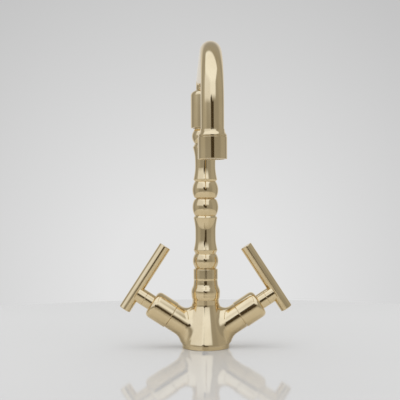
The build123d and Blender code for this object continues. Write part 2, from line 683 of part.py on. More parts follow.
def spindle_seals():
    """Two O-rings in the spindle's grooves."""
    bore = SPINDLE_R + RUNNING
    groove = SPINDLE_R - SPINDLE_SEAL_DEPTH
    return group(o_ring(bore, groove, place) for place in SPINDLE_SEAL_PLACES)


def circlip():
    """Open spring ring that keeps the spindle in the cartridge."""
    clip = ring(CIRCLIP_R, CIRCLIP_GROOVE_R + SEAL_FIT, CIRCLIP_T, CIRCLIP_T + CIRCLIP_H)
    opening = Box(2 * CIRCLIP_R, CIRCLIP_OPENING, CIRCLIP_H + OVERRUN)
    return clip - Pos(-CIRCLIP_R, 0, CIRCLIP_T + CIRCLIP_H / 2) * opening


def bonnet():
    """Plain barrel screwed on the arm's spigot. It covers the cartridge and the hub's lower end."""
    low = ARM_END_T + BONNET_SEAM_W
    inside = SPIGOT_R + THREAD_FIT
    inner_top = BONNET_FACE_T - BONNET_TOP_H
    hole = HUB_R + OPEN_GAP
    flat = BONNET_R - BONNET_ROUND
    return turned(
        (inside, low), (BONNET_R - BONNET_EDGE, low), (BONNET_R, low + BONNET_EDGE),
        (BONNET_R, BONNET_FACE_T - BONNET_ROUND), (flat, BONNET_FACE_T, BONNET_ROUND_BOW),
        (hole, BONNET_FACE_T), (hole, inner_top), (inside, inner_top))


# Handle on an arm, in the arm's own frame

def handle_hub():
    """Stem that fits the spindle's spline, with holes for the bar's screw and the grub screw."""
    hub = turned(
        (0, HUB_LOW_T), (HUB_R - HUB_EDGE, HUB_LOW_T), (HUB_R, HUB_LOW_T + HUB_EDGE),
        (HUB_R, RING_LOW_T - HUB_EDGE), (HUB_R - HUB_EDGE, RING_LOW_T), (0, RING_LOW_T))
    hub -= rod(SPLINE_R + RUNNING, HUB_LOW_T - OVERRUN, HUB_FLOOR_T)
    hub -= rod(SCREW_R + RUNNING, HUB_FLOOR_T - OVERRUN, RING_LOW_T + OVERRUN)
    grub_t = BONNET_FACE_T + GRUB_FROM_FACE
    return hub - Pos(0, 0, grub_t) * Rot(0, -90, 0) * rod(GRUB_R + RUNNING, 0, HUB_R + OVERRUN)


def bar_place():
    """The bar's own place: its long end points up and inwards, along the arm frame's X."""
    return Pos(0, 0, BAR_T) * Rot(0, 90, 0)


def saddle_ring():
    """Ring between the hub and the bar, hollowed to the bar's round."""
    saddle = turned(
        (SCREW_R + RUNNING, RING_LOW_T), (HUB_R - HUB_EDGE, RING_LOW_T), (HUB_R, RING_LOW_T + HUB_EDGE),
        (HUB_R, RING_TOP_T), (SCREW_R + RUNNING, RING_TOP_T))
    return saddle - bar_place() * rod(BAR_R + SEAL_FIT, -2 * HUB_R, 2 * HUB_R)


def handle_bar():
    """Round bar across the hub, longer on its upper side."""
    bar = bar_place() * turned(
        (0, -BAR_SHORT), (BAR_R - BAR_EDGE, -BAR_SHORT), (BAR_R, BAR_EDGE - BAR_SHORT),
        (BAR_R, BAR_LONG - BAR_EDGE), (BAR_R - BAR_EDGE, BAR_LONG), (0, BAR_LONG))
    return bar - rod(SCREW_R + RUNNING, BAR_T - BAR_R - OVERRUN, BAR_T - BAR_R + SCREW_BITE + OVERRUN)


def key_socket(width, depth):
    """Hexagonal socket, cut down from Z = 0."""
    return Pos(0, 0, -depth) * extrude(RegularPolygon(width / 2, 6, major_radius=False), depth)


def bar_screw():
    """Cap screw from inside the hub, through the ring, into the bar."""
    head_low = HUB_FLOOR_T - SCREW_HEAD_H
    screw = rod(SCREW_HEAD_R, head_low, HUB_FLOOR_T) + rod(SCREW_R, HUB_FLOOR_T, BAR_T - BAR_R + SCREW_BITE)
    return screw - Pos(0, 0, head_low) * Rot(180, 0, 0) * key_socket(SCREW_KEY, KEY_DEPTH)


def grub_screw():
    """Headless screw in the hub's underside, against the spindle."""
    length = HUB_R - SPLINE_R - GRUB_RECESS - RUNNING
    screw = rod(GRUB_R, 0, length) - Pos(0, 0, length) * key_socket(GRUB_KEY, KEY_DEPTH)
    outwards = Pos(-(SPLINE_R + RUNNING), 0, BONNET_FACE_T + GRUB_FROM_FACE) * Rot(0, -90, 0)
    return outwards * screw


os.makedirs("parts", exist_ok=True)

save("base_body", base_body())
save("base_seal", base_seal())
save("lower_column", lower_column())
save("upper_column", upper_column())
save("column_seals", column_seals())
save("spout_nut", spout_nut())
save("lower_glide_ring", glide_ring(POST_SOCKET_R + OPEN_GAP, POST_TOP_Z))
save("upper_glide_ring", glide_ring(TUBE_R + OPEN_GAP, FLANGE_TOP_Z + RUNNING))
save("spout_spigot", spout_spigot())
save("spigot_seals", spigot_seals())
save("spout_elbow", spout_elbow())
save("spout_tube", spout_tube())
save("spout_ferrule", spout_ferrule())
save("aerator_housing", aerator_housing())
save("aerator_washer", aerator_washer())
save("aerator_insert", aerator_insert())
save("aerator_screens", aerator_screens())

valve_pieces = {
    "seat_seal": seat_seal(), "fixed_disc": fixed_disc(), "moving_disc": moving_disc(),
    "cartridge_seal": cartridge_seal(), "spindle": spindle(), "spindle_seals": spindle_seals(),
    "circlip": circlip(), "bonnet": bonnet(), "handle_hub": handle_hub(), "saddle_ring": saddle_ring(),
    "handle_bar": handle_bar(), "bar_screw": bar_screw(), "grub_screw": grub_screw()}
for side in SIDES:
    save(f"{side}_cartridge_body", on_arm(side, cartridge_body(side)))
    for name, piece in valve_pieces.items():
        save(f"{side}_{name}", on_arm(side, piece))
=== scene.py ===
"""Single-hole kitchen faucet in polished brass, built around its CAD frame."""

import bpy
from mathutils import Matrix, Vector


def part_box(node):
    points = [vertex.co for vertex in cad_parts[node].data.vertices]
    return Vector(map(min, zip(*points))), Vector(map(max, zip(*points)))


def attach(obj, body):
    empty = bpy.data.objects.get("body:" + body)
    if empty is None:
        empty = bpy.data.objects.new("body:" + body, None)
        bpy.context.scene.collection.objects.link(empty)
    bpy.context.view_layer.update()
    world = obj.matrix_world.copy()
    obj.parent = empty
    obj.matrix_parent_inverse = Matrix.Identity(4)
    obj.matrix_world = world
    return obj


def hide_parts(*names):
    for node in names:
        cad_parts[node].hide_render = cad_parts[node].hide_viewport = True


bl_info = {
    "name": "Single-hole kitchen faucet",
    "version": (1, 0, 0),
    "blender": (4, 5, 0),
    "location": "View3D > Sidebar > Faucet",
    "description": "Builds the faucet's polished pieces, their finishes and the studio around them",
    "category": "Add Mesh",
}

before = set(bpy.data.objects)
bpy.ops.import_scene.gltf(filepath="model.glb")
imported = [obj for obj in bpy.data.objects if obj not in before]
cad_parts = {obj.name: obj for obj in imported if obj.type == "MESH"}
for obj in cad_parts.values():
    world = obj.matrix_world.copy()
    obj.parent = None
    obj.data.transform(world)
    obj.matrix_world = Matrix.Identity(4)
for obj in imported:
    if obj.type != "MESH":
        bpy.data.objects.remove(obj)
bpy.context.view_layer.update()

from contextlib import contextmanager
from math import atan, cos, pi, radians, sin, tan
from typing import NamedTuple

import bmesh
import bpy
import numpy as np
from bpy.props import FloatProperty, FloatVectorProperty, IntProperty, PointerProperty
from mathutils import Matrix, Vector

MM = 0.001
# Turn of each arm about the column
SIDES = {"hot": pi, "cold": 0.0}
# Faces that meet at more than this have a sharp edge between them
CREASE = radians(38)
# Distance of the guard points beside a rounded corner, and of points that count as one
GUARD = 0.12 * MM
MERGE = 0.004 * MM
# Softness of a corner per face of its rounding
CORNER_STEP = 0.3 * MM
# Play between a spigot or a thread and its socket
FIT = 0.05 * MM
# Faces round a bored hole or a rough cylinder
HOLE_STEPS = 96
# Camera sensor in millimetres and picture width in pixels
SENSOR = 36.0
PICTURE = 400.0


def length(name, description, default):
    """A size in the panel, given here in millimetres."""
    return FloatProperty(name=name, description=description, default=default * MM, unit="LENGTH", precision=5)


def turn(name, description, default):
    """An angle in the panel, given here in degrees."""
    return FloatProperty(name=name, description=description, default=radians(default), unit="ROTATION")


def share(name, description, default):
    """A plain number in the panel."""
    return FloatProperty(name=name, description=description, default=default, precision=4)


def colour(name, description, default):
    """A linear colour in the panel."""
    return FloatVectorProperty(name=name, description=description, default=default, subtype="COLOR", size=3)


class CastingSizes(bpy.types.PropertyGroup):
    """Body casting: foot, waist, neck and two arms."""
    foot_radius: length("Foot radius", "Radius of the round foot on the deck", 25.0)
    foot_side: length("Foot side", "Height of the foot's upright side", 5.0)
    waist_radius: length("Waist radius", "Radius of the trunk below the neck", 19.5)
    waist_height: length("Waist height", "Height of that radius", 24.5)
    neck_radius: length("Neck radius", "Radius of the neck under the column", 14.0)
    neck_height: length("Neck height", "Height where the neck turns straight", 44.5)
    arm_radius: length("Arm radius", "Radius of each arm", 14.1)
    arm_end: length("Arm end", "Distance from the column's axis to the bonnet, along the arm", 43.4)
    arm_height: length("Arm height", "Height at which the arms' axes cross", 10.0)
    arm_angle: turn("Arm angle", "Rise of each arm above level", 33.0)
    neck_bow: length("Neck bow", "How far the stretch from waist to neck bows outwards", -0.2)
    neck_top: length("Neck top", "Height of the neck's end, under the column", 50.4)
    foot_blend: length("Foot blend", "Radius of the blend between the arms and the foot", 15.0)
    neck_blend: length("Neck blend", "Radius of the blend between the arms and the neck", 7.5)
    edge: length("Edge", "Softness of the casting's rims", 0.6)
    bore_edge: length("Bore edge", "Softness of the rims at the neck and the arms' ends", 0.25)
    grain: length("Mesh size", "Spacing of the casting's mesh", 0.8)
    socket_radius: length("Socket radius", "Radius of the neck's socket for the column", 9.0)
    socket_deep: length("Socket depth", "Depth of that socket", 10.0)
    mixing_radius: length("Mixing radius", "Radius of the mixing chamber below it", 6.5)
    mixing_deep: length("Mixing depth", "Depth of that chamber's floor under the neck's top", 22.4)
    thread_radius: length("Thread radius", "Radius of the bonnet's thread on each arm", 12.0)
    thread_long: length("Thread length", "Length of that thread", 5.0)
    chamber_radius: length("Chamber radius", "Radius of each valve chamber", 9.5)
    chamber_deep: length("Chamber depth", "Depth of that chamber inside the arm", 23.4)
    seat_radius: length("Seat radius", "Radius of the port under each valve", 4.0)
    seat_deep: length("Seat depth", "Depth of that port inside the arm", 35.4)
    seal_outer: length("Seal groove outer", "Outer radius of the seal's groove under the foot", 22.5)
    seal_inner: length("Seal groove inner", "Inner radius of that groove", 19.5)
    seal_deep: length("Seal groove depth", "Depth of that groove", 2.1)
    stud_radius: length("Stud radius", "Radius of the threaded hole for the stud", 3.4)
    stud_deep: length("Stud depth", "Depth of that hole", 14.0)
    stud_place: length("Stud place", "Distance of that hole behind the foot's centre", 9.0)
    inlet_radius: length("Inlet radius", "Radius of each threaded water inlet", 4.5)
    inlet_deep: length("Inlet depth", "Depth of each inlet", 12.0)
    inlet_side: length("Inlet side", "Sideways distance of each inlet from the foot's centre", 8.5)
    inlet_back: length("Inlet back", "Distance of the inlets behind the foot's centre", -5.0)
    port_radius: length("Port radius", "Radius of the bore above each inlet", 3.0)
    port_top: length("Port top", "Height where that bore ends", 17.0)


class ColumnSizes(bpy.types.PropertyGroup):
    """Turned column in two lengths."""
    joint: length("Joint", "Height of the deep groove between the two lengths", 157.2)
    bead: length("Long bead radius", "Radius of the two long beads at the joint", 13.75)
    bead_edge: length("Bead edge radius", "Radius of each bead's ends", 11.6)
    lip: length("Lip radius", "Radius of a waist's lips", 12.7)
    waist: length("Waist radius", "Smallest radius of a waist", 10.65)
    groove: length("Groove radius", "Radius at the bottom of a groove", 11.1)
    deep_groove: length("Deep groove radius", "Radius at the bottom of the joint's groove", 10.1)
    hollow: length("Waist hollow", "How far a waist's stretches bow outwards", -0.6)
    bore: length("Bore radius", "Radius of the column's bore", 6.0)
    spigot: length("Spigot length", "Length of each length's lower spigot", 9.4)
    socket: length("Socket depth", "Depth of the socket at the joint", 10.0)
    socket_radius: length("Socket radius", "Radius of that socket", 8.0)
    thread: length("Thread radius", "Radius of the spout nut's thread on the column", 12.45)
    top: length("Top", "Height of the column's end, inside the nut", 245.7)
    seat: length("Seat radius", "Radius of the bore that the spout turns in", 7.0)
    seat_low: length("Seat floor", "Height where that bore ends", 213.7)


class SpoutSizes(bpy.types.PropertyGroup):
    """Elbow, bent tube and the nut below them."""
    tube: length("Tube radius", "Outside radius of the spout tube", 9.5)
    wall: length("Tube wall", "Thickness of the spout tube", 1.2)
    elbow_wall: length("Elbow wall", "Thickness of the cast elbow", 2.5)
    elbow_bend: length("Elbow bend", "Bend radius of the elbow", 11.0)
    elbow_end: length("Elbow end", "Distance from the column's axis to the elbow's joint", 17.0)
    front_bend: length("Front bend", "Bend radius above the outlet", 52.0)
    reach: length("Reach", "Distance from the column's axis to the outlet's axis", 205.0)
    nut: length("Nut radius", "Outside radius of the spout nut", 15.2)
    nut_dome: length("Nut dome", "Height of the nut's domed top", 4.5)
    nut_thread: length("Nut thread", "Radius of the nut's thread", 12.5)
    nut_thread_long: length("Nut thread length", "Length of that thread", 14.0)
    nut_cavity: length("Nut cavity", "Radius of the cavity above the thread", 12.3)
    nut_cavity_top: length("Nut cavity top", "Height of that cavity's roof in the nut", 20.45)


class OutletSizes(bpy.types.PropertyGroup):
    """Ferrule and aerator housing at the outlet."""
    ferrule: length("Ferrule radius", "Radius of the ferrule's lower rim", 11.7)
    flare: length("Flare height", "Height of the ferrule's flare", 4.6)
    housing: length("Housing radius", "Outside radius of the aerator housing", 11.9)
    mouth: length("Mouth radius", "Radius of the housing's mouth", 9.6)
    housing_wall: length("Housing wall", "Thickness of the aerator housing", 0.95)
    gap: length("Gap", "Dark line between the ferrule and the housing", 0.25)
    tube_seat: length("Tube seat", "Height of the ferrule's floor under the tube", 2.0)
    bore: length("Bore", "Radius of the ferrule's bore", 8.0)
    lip_top: length("Lip top", "Height where the mouth's cone ends in the housing", 2.8)
    lip_low: length("Lip low", "Height where that cone starts", 1.6)


class HandleSizes(bpy.types.PropertyGroup):
    """Bonnet, hub, saddle ring and bar of one handle, along the arm's axis."""
    bonnet: length("Bonnet radius", "Radius of the plain barrel over the valve", 14.85)
    bonnet_length: length("Bonnet length", "Length of that barrel", 25.1)
    bonnet_round: length("Bonnet round", "Radius of the barrel's outer edge", 6.2)
    bonnet_roof: length("Bonnet roof", "Thickness of the barrel's end", 3.4)
    seam: length("Seam", "Gap between the arm and the barrel, and round the stem", 0.3)
    hub: length("Hub radius", "Radius of the stem between the barrel and the bar", 8.2)
    hub_sunk: length("Hub sunk", "How far the stem reaches into the barrel", 3.0)
    hub_bore_deep: length("Hub bore", "Depth of the stem's bore for the spindle", 10.1)
    spline: length("Spline bore", "Radius of that bore", 4.05)
    screw: length("Screw hole", "Radius of the hole for the bar's screw", 2.05)
    grub: length("Grub hole", "Radius of the hole for the grub screw under the stem", 1.55)
    grub_place: length("Grub place", "Distance of that hole from the barrel's face", 1.9)
    bar_place: length("Bar place", "Distance from the barrel's face to the bar's axis", 20.1)
    saddle: length("Saddle length", "Length of the saddle ring beside the bar", 5.25)
    wrap: length("Saddle wrap", "How far the saddle ring stops short of the bar's axis", 2.0)
    bar: length("Bar radius", "Radius of the handle bar", 6.35)
    bar_long: length("Bar long end", "Length of the bar above the hub", 58.0)
    bar_short: length("Bar short end", "Length of the bar below the hub", 21.0)
    bar_edge: length("Bar edge", "Softness of the bar's ends", 0.8)
    bar_play: length("Bar play", "Play between the bar and its hole in the saddle ring", 0.04)


class FinishSettings(bpy.types.PropertyGroup):
    """Colours and polish."""
    brass: colour("Brass", "Colour of the polished brass", (0.83, 0.665, 0.395))
    brass_shade: colour("Brass shade", "Second tone that the first drifts to", (0.77, 0.605, 0.345))
    polish: share("Polish", "Roughness of the polished brass", 0.075)
    plain: colour("Plain brass", "Colour of machined brass inside the faucet", (0.66, 0.49, 0.22))
    steel: colour("Steel", "Colour of the bar screws, circlips and gauze", (0.56, 0.55, 0.53))
    black_steel: colour("Black steel", "Colour of the blackened grub screws", (0.06, 0.055, 0.05))
    mesh: length("Gauze mesh", "Two wires' spacing in the aerator's gauze", 1.1)
    rubber: colour("Rubber", "Colour of the seals", (0.018, 0.018, 0.019))
    acetal: colour("Acetal", "Colour of the glide rings and the aerator's insert", (0.74, 0.73, 0.70))
    ceramic: colour("Ceramic", "Colour of the valve discs", (0.80, 0.74, 0.72))


class StageSettings(bpy.types.PropertyGroup):
    """Camera, table, backdrop and light."""
    distance: length("Camera distance", "Distance from the column's axis to the camera", 861.5)
    camera_height: length("Camera height", "Height of the camera above the table", 149.0)
    camera_side: length("Camera side", "Sideways place of the camera", -25.0)
    lens: share("Lens", "Focal length in millimetres", 73.1)
    aim_side: share("Aim sideways", "Pixels by which the camera aims left of the column's axis", 5.4)
    aim_up: share("Aim up", "Pixels by which the camera aims above level", 6.3)
    roll: turn("Camera roll", "Turn of the picture, anticlockwise positive", -0.2)
    table: length("Table radius", "Radius of the round table", 620.0)
    table_colour: colour("Table colour", "Colour of the table", (0.61, 0.61, 0.61))
    backdrop_low: colour("Backdrop low", "Backdrop behind the object", (0.77, 0.77, 0.77))
    backdrop_high: colour("Backdrop high", "Backdrop towards the picture's corners", (0.558, 0.558, 0.558))
    wall_low: colour("Wall low", "The room's walls in the brass, at table height", (0.34, 0.34, 0.34))
    wall_high: colour("Wall high", "The room's walls in the brass, high up", (0.40, 0.40, 0.40))
    plain_light: colour("Plain light", "Even light on everything that is matt", (0.72, 0.72, 0.72))
    steps: IntProperty(
        name="Steps around", description="Faces around a turned piece", default=144, min=24, max=256)


SETTINGS = {
    "casting": CastingSizes, "column": ColumnSizes, "spout": SpoutSizes, "outlet": OutletSizes,
    "handle": HandleSizes, "finish": FinishSettings, "stage": StageSettings,
}


def sizes(name):
    """One group of the scene's faucet settings."""
    return getattr(bpy.context.scene, "faucet_" + name)


# Node trees

def put(tree, kind, *inputs, **settings):
    """Adds a node, sets it, and links or fills its inputs in order. None leaves an input alone."""
    node = tree.nodes.new(kind)
    for key, value in settings.items():
        setattr(node, key, value)
    sockets = [socket for socket in node.inputs if socket.enabled]
    for socket, value in zip(sockets, inputs):
        if isinstance(value, bpy.types.NodeSocket):
            tree.links.new(value, socket)
        elif value is not None:
            socket.default_value = value
    return [socket for socket in node.outputs if socket.enabled]


def maths(tree, operation, *inputs):
    """A Math node in a shader or geometry tree."""
    return put(tree, "ShaderNodeMath", *inputs, operation=operation)[0]


def geometry_tree(name, *named):
    """An empty geometry tree with a geometry input, the named inputs and a geometry output."""
    tree = bpy.data.node_groups.new(name, "GeometryNodeTree")
    tree.interface.new_socket("Geometry", in_out="INPUT", socket_type="NodeSocketGeometry")
    for label, kind in named:
        tree.interface.new_socket(label, in_out="INPUT", socket_type="NodeSocket" + kind)
    tree.interface.new_socket("Geometry", in_out="OUTPUT", socket_type="NodeSocketGeometry")
    return tree, tree.nodes.new("NodeGroupInput").outputs


def close_tree(tree, mesh, crease, finish):
    """Ends a geometry tree: merged points, sharp edges past the crease, real geometry, material."""
    merged = put(tree, "GeometryNodeMergeByDistance", mesh, None, 2e-6)[0]
    angle = put(tree, "GeometryNodeInputMeshEdgeAngle")[0]
    sharp = put(tree, "FunctionNodeCompare", angle, crease, operation="GREATER_THAN")[0]
    smooth = put(tree, "GeometryNodeSetShadeSmooth", merged, None, True, domain="FACE")[0]
    creased = put(tree, "GeometryNodeSetShadeSmooth", smooth, sharp, False, domain="EDGE")[0]
    real = put(tree, "GeometryNodeRealizeInstances", creased)[0]
    painted = put(tree, "GeometryNodeSetMaterial", real, None, finish)[0]
    output = tree.nodes.new("NodeGroupOutput")
    tree.links.new(painted, output.inputs[0])
    return tree


def turning_tree():
    """Turns an outline in the XZ plane round Z. The outline's points become the rows of a grid."""
    tree, given = geometry_tree(
        "Turned piece", ("Steps around", "Int"), ("Crease angle", "Float"), ("Finish", "Material"))
    outline, steps, crease, finish = given[0], given[1], given[2], given[3]
    rows = put(tree, "GeometryNodeAttributeDomainSize", outline, component="MESH")[0]
    grid = put(tree, "GeometryNodeMeshGrid", 1.0, 1.0, maths(tree, "ADD", steps, 1.0), rows)[0]
    index = put(tree, "GeometryNodeInputIndex")[0]
    row = maths(tree, "MODULO", index, rows)
    angle = maths(tree, "MULTIPLY", maths(tree, "FLOOR", maths(tree, "DIVIDE", index, rows)), 2 * pi)
    angle = maths(tree, "DIVIDE", angle, steps)
    place = put(tree, "GeometryNodeInputPosition")[0]
    point = put(tree, "GeometryNodeSampleIndex", outline, place, row, data_type="FLOAT_VECTOR")[0]
    apart = put(tree, "ShaderNodeSeparateXYZ", point)
    x = maths(tree, "MULTIPLY", apart[0], maths(tree, "COSINE", angle))
    y = maths(tree, "MULTIPLY", apart[0], maths(tree, "SINE", angle))
    round_axis = put(tree, "ShaderNodeCombineXYZ", x, y, apart[2])[0]
    moved = put(tree, "GeometryNodeSetPosition", grid, None, round_axis)[0]
    return close_tree(tree, moved, crease, finish)


def bending_tree():
    """Sweeps a circle along a route whose corners are rounded to one bend radius."""
    tree, given = geometry_tree(
        "Bent tube", ("Tube radius", "Float"), ("Bend radius", "Float"), ("Bend steps", "Int"),
        ("Steps around", "Int"), ("Crease angle", "Float"), ("Finish", "Material"))
    route, radius, bend, bend_steps, steps, crease, finish = (given[i] for i in range(7))
    line = put(tree, "GeometryNodeMeshToCurve", route)[0]
    rounded = put(tree, "GeometryNodeFilletCurve", line, bend_steps, bend, False, mode="POLY")[0]
    circle = put(tree, "GeometryNodeCurvePrimitiveCircle", steps, radius)[0]
    return close_tree(tree, put(tree, "GeometryNodeCurveToMesh", rounded, circle)[0], crease, finish)


# Meshes

def new_object(name, mesh):
    """Links a mesh to the scene as an object at the origin."""
    piece = bpy.data.objects.new(name, mesh)
    bpy.context.scene.collection.objects.link(piece)
    return piece


def chain(points):
    """A mesh of one open line through the points."""
    mesh = bpy.data.meshes.new("line")
    mesh.from_pydata([tuple(point) for point in points], [(i, i + 1) for i in range(len(points) - 1)], [])
    return mesh


@contextmanager
def edited(mesh):
    """A mesh opened for editing and written back at the end."""
    work = bmesh.new()
    work.from_mesh(mesh)
    yield work
    work.to_mesh(mesh)
    work.free()


def face_outwards(mesh):
    """Turns a closed mesh so that its faces point outwards."""
    with edited(mesh) as work:
        if work.calc_volume(signed=True) < 0:
            bmesh.ops.reverse_faces(work, faces=work.faces)


def settle(piece, name):
    """Applies a piece's modifiers and returns the plain piece, closed and facing outwards."""
    depsgraph = bpy.context.evaluated_depsgraph_get()
    mesh = bpy.data.meshes.new_from_object(piece.evaluated_get(depsgraph))
    materials = list(mesh.materials)
    bpy.data.objects.remove(piece)
    face_outwards(mesh)
    mesh.name = name
    plain = new_object(name, mesh)
    for index, material in enumerate(materials):
        mesh.materials[index] = material
    return plain


def with_tree(name, mesh, tree, **inputs):
    """An object whose geometry comes from a tree, with the tree's inputs set by their names."""
    piece = new_object(name, mesh)
    modifier = piece.modifiers.new(tree.name, "NODES")
    modifier.node_group = tree
    for item in tree.interface.items_tree:
        key = item.name.replace(" ", "_").lower()
        if item.in_out == "INPUT" and key in inputs:
            modifier[item.identifier] = inputs[key]
    return piece


def bowed(start, end, bow):
    """Points from start to end, along a line or a curve that stands out by bow at its middle."""
    steps = 28 if bow else 1
    t = np.linspace(0.0, 1.0, steps + 1)[:, None]
    pull = (start + end) / 2 + np.array([2 * bow, 0.0])
    return (1 - t) ** 2 * start + 2 * t * (1 - t) * pull + t ** 2 * end


def trimmed(points, head, tail):
    """The line without its first and last lengths. Guard points near its ends keep the shading straight."""
    along = np.concatenate([[0.0], np.cumsum(np.linalg.norm(np.diff(points, axis=0), axis=1))])
    fit = min(1.0, 0.96 * along[-1] / max(head + tail, 1e-9))
    low, high = head * fit, along[-1] - tail * fit
    guards = [low + GUARD, high - GUARD] if high - low > 3 * GUARD else []
    wanted = np.unique(np.concatenate([[low], guards, along[(along > low) & (along < high)], [high]]))
    return np.stack([np.interp(wanted, along, points[:, axis]) for axis in (0, 1)], axis=1)


def outline(*marks):
    """Closed outline of a turned piece. A mark is radius, height, softness of that corner and bow of the
    stretch that leads to it, in metres; the last two may be left out."""
    full = [tuple(mark) + (0.0,) * (4 - len(mark)) for mark in marks]
    lines = []
    for before, after in zip(full[-1:] + full[:-1], full):
        line = bowed(np.array(before[:2]), np.array(after[:2]), after[3])
        lines.append(trimmed(line, before[2], after[2]))
    points = []
    for index, (line, mark) in enumerate(zip(lines, full)):
        following = lines[(index + 1) % len(lines)]
        points += list(line[1:] if points and np.allclose(points[-1], line[0]) else line)
        if mark[2] > 0:
            corner = np.array(mark[:2])
            parts = 5 + int(mark[2] / CORNER_STEP)
            for t in np.arange(1, parts) / parts:
                points.append((1 - t) ** 2 * line[-1] + 2 * t * (1 - t) * corner + t ** 2 * following[0])
    kept = [points[0]]
    for point in points[1:]:
        if np.linalg.norm(point - kept[-1]) > 4e-6:
            kept.append(point)
    kept.append(kept[0])
    return [(max(point[0], 0.0), 0.0, point[1]) for point in kept]


def turned(name, marks, finish, place=Matrix.Identity(4)):
    """A piece turned from an outline and put in its place."""
    piece = with_tree(
        name, chain(outline(*marks)), TREES["turning"], steps_around=sizes("stage").steps,
        crease_angle=CREASE, finish=MATERIALS[finish])
    plain = settle(piece, name)
    plain.data.transform(place)
    return plain


def mark_creases(mesh):
    """Clears slivers and shades smooth, apart from edges where two faces meet at more than the crease."""
    with edited(mesh) as work:
        bmesh.ops.remove_doubles(work, verts=work.verts, dist=MERGE)
        bmesh.ops.dissolve_degenerate(work, edges=work.edges, dist=MERGE)
        for face in work.faces:
            face.smooth = True
        for edge in work.edges:
            edge.smooth = edge.calc_face_angle(0.0) < CREASE


def cylinders(rows):
    """A mesh of closed cylinders. Each is its radius, the heights between which it runs along Z, its place
    and its upper radius, if that is another."""
    mesh = bpy.data.meshes.new("cylinders")
    with edited(mesh) as work:
        for radius, low, high, place, *upper in rows:
            middle = place @ Matrix.Translation((0.0, 0.0, (low + high) / 2))
            top = upper[0] if upper else radius
            bmesh.ops.create_cone(
                work, cap_ends=True, segments=HOLE_STEPS, radius1=radius, radius2=top, depth=high - low,
                matrix=middle)
    return mesh


def bored(piece, holes):
    """Cuts round holes, given as for cylinders."""
    cutter = new_object("cutter", cylinders(holes))
    cut = piece.modifiers.new("holes", "BOOLEAN")
    cut.operation = "DIFFERENCE"
    cut.solver = "EXACT"
    cut.use_self = True
    cut.object = cutter
    plain = settle(piece, piece.name)
    bpy.data.objects.remove(cutter)
    mark_creases(plain.data)
    return plain


def hand_over(piece, body, node):
    """Puts a finished brass piece on its body, in place of its CAD node."""
    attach(piece, body)
    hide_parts(node)


def arm_place(side):
    """From the arm's own frame, with Z outwards along its axis and X up and inwards, to the faucet."""
    casting = sizes("casting")
    tilt = casting.arm_angle
    axes = Matrix((
        (-sin(tilt), 0.0, cos(tilt), 0.0),
        (0.0, -1.0, 0.0, 0.0),
        (cos(tilt), 0.0, sin(tilt), casting.arm_height),
        (0.0, 0.0, 0.0, 1.0)))
    return Matrix.Rotation(SIDES[side], 4, "Z") @ axes


# Finishes

MATERIALS = {}
TREES = {}


def new_material(name):
    """A material with an empty Principled shader, its tree and its Object coordinates."""
    material = bpy.data.materials.new(name)
    material.use_nodes = True
    tree = material.node_tree
    tree.nodes.clear()
    shader = tree.nodes.new("ShaderNodeBsdfPrincipled")
    output = tree.nodes.new("ShaderNodeOutputMaterial")
    tree.links.new(shader.outputs[0], output.inputs[0])
    where = tree.nodes.new("ShaderNodeTexCoord").outputs["Object"]
    MATERIALS[name] = material
    return tree, shader, where


def noise(tree, where, scale, detail=2.0, roughness=0.5):
    """Noise of a scale per metre, from 0 to 1."""
    return put(tree, "ShaderNodeTexNoise", where, scale, detail, roughness)[0]


def spread(tree, value, low, high, low_out, high_out):
    """Maps a value's range to another one."""
    return put(tree, "ShaderNodeMapRange", value, low, high, low_out, high_out)[0]


def mixed(tree, factor, first, second):
    """Mixes two colours."""
    node = tree.nodes.new("ShaderNodeMix")
    node.data_type = "RGBA"
    tree.links.new(factor, node.inputs[0])
    for socket, value in zip(node.inputs[6:8], (first, second)):
        if isinstance(value, bpy.types.NodeSocket):
            tree.links.new(value, socket)
        else:
            socket.default_value = (*value, 1.0)
    return node.outputs[2]


def bumped(tree, shader, height, distance, strength=1.0):
    """Gives a shader a bump of a depth in metres."""
    bump = tree.nodes.new("ShaderNodeBump")
    bump.inputs["Strength"].default_value = strength
    bump.inputs["Distance"].default_value = distance
    tree.links.new(height, bump.inputs["Height"])
    if shader.inputs["Normal"].is_linked:
        tree.links.new(shader.inputs["Normal"].links[0].from_socket, bump.inputs["Normal"])
    tree.links.new(bump.outputs[0], shader.inputs["Normal"])


def stretched(tree, where, scale):
    """Coordinates scaled by axis, for marks that run one way."""
    return put(tree, "ShaderNodeMapping", where, None, None, scale)[0]


def polished_brass(name, waviness):
    """Buffed brass: two close tones, a polish that drifts, fine buffing marks and a cast surface's waves."""
    finish = sizes("finish")
    tree, shader, where = new_material(name)
    shader.inputs["Metallic"].default_value = 1.0
    cloud = spread(tree, noise(tree, where, 38.0, 3.0), 0.35, 0.68, 0.0, 1.0)
    tree.links.new(mixed(tree, cloud, finish.brass, finish.brass_shade), shader.inputs["Base Color"])
    smear = noise(tree, where, 120.0, 4.0, 0.6)
    hair = noise(tree, stretched(tree, where, (900.0, 900.0, 60.0)), 3.0, 3.0, 0.6)
    polish = spread(tree, smear, 0.35, 0.75, 0.8 * finish.polish, 1.5 * finish.polish)
    marks = spread(tree, hair, 0.55, 0.8, 0.0, 0.5 * finish.polish)
    tree.links.new(maths(tree, "ADD", polish, marks), shader.inputs["Roughness"])
    bumped(tree, shader, noise(tree, where, 75.0, 1.0), waviness)
    bumped(tree, shader, noise(tree, where, 1400.0, 2.0), 1.5e-6)


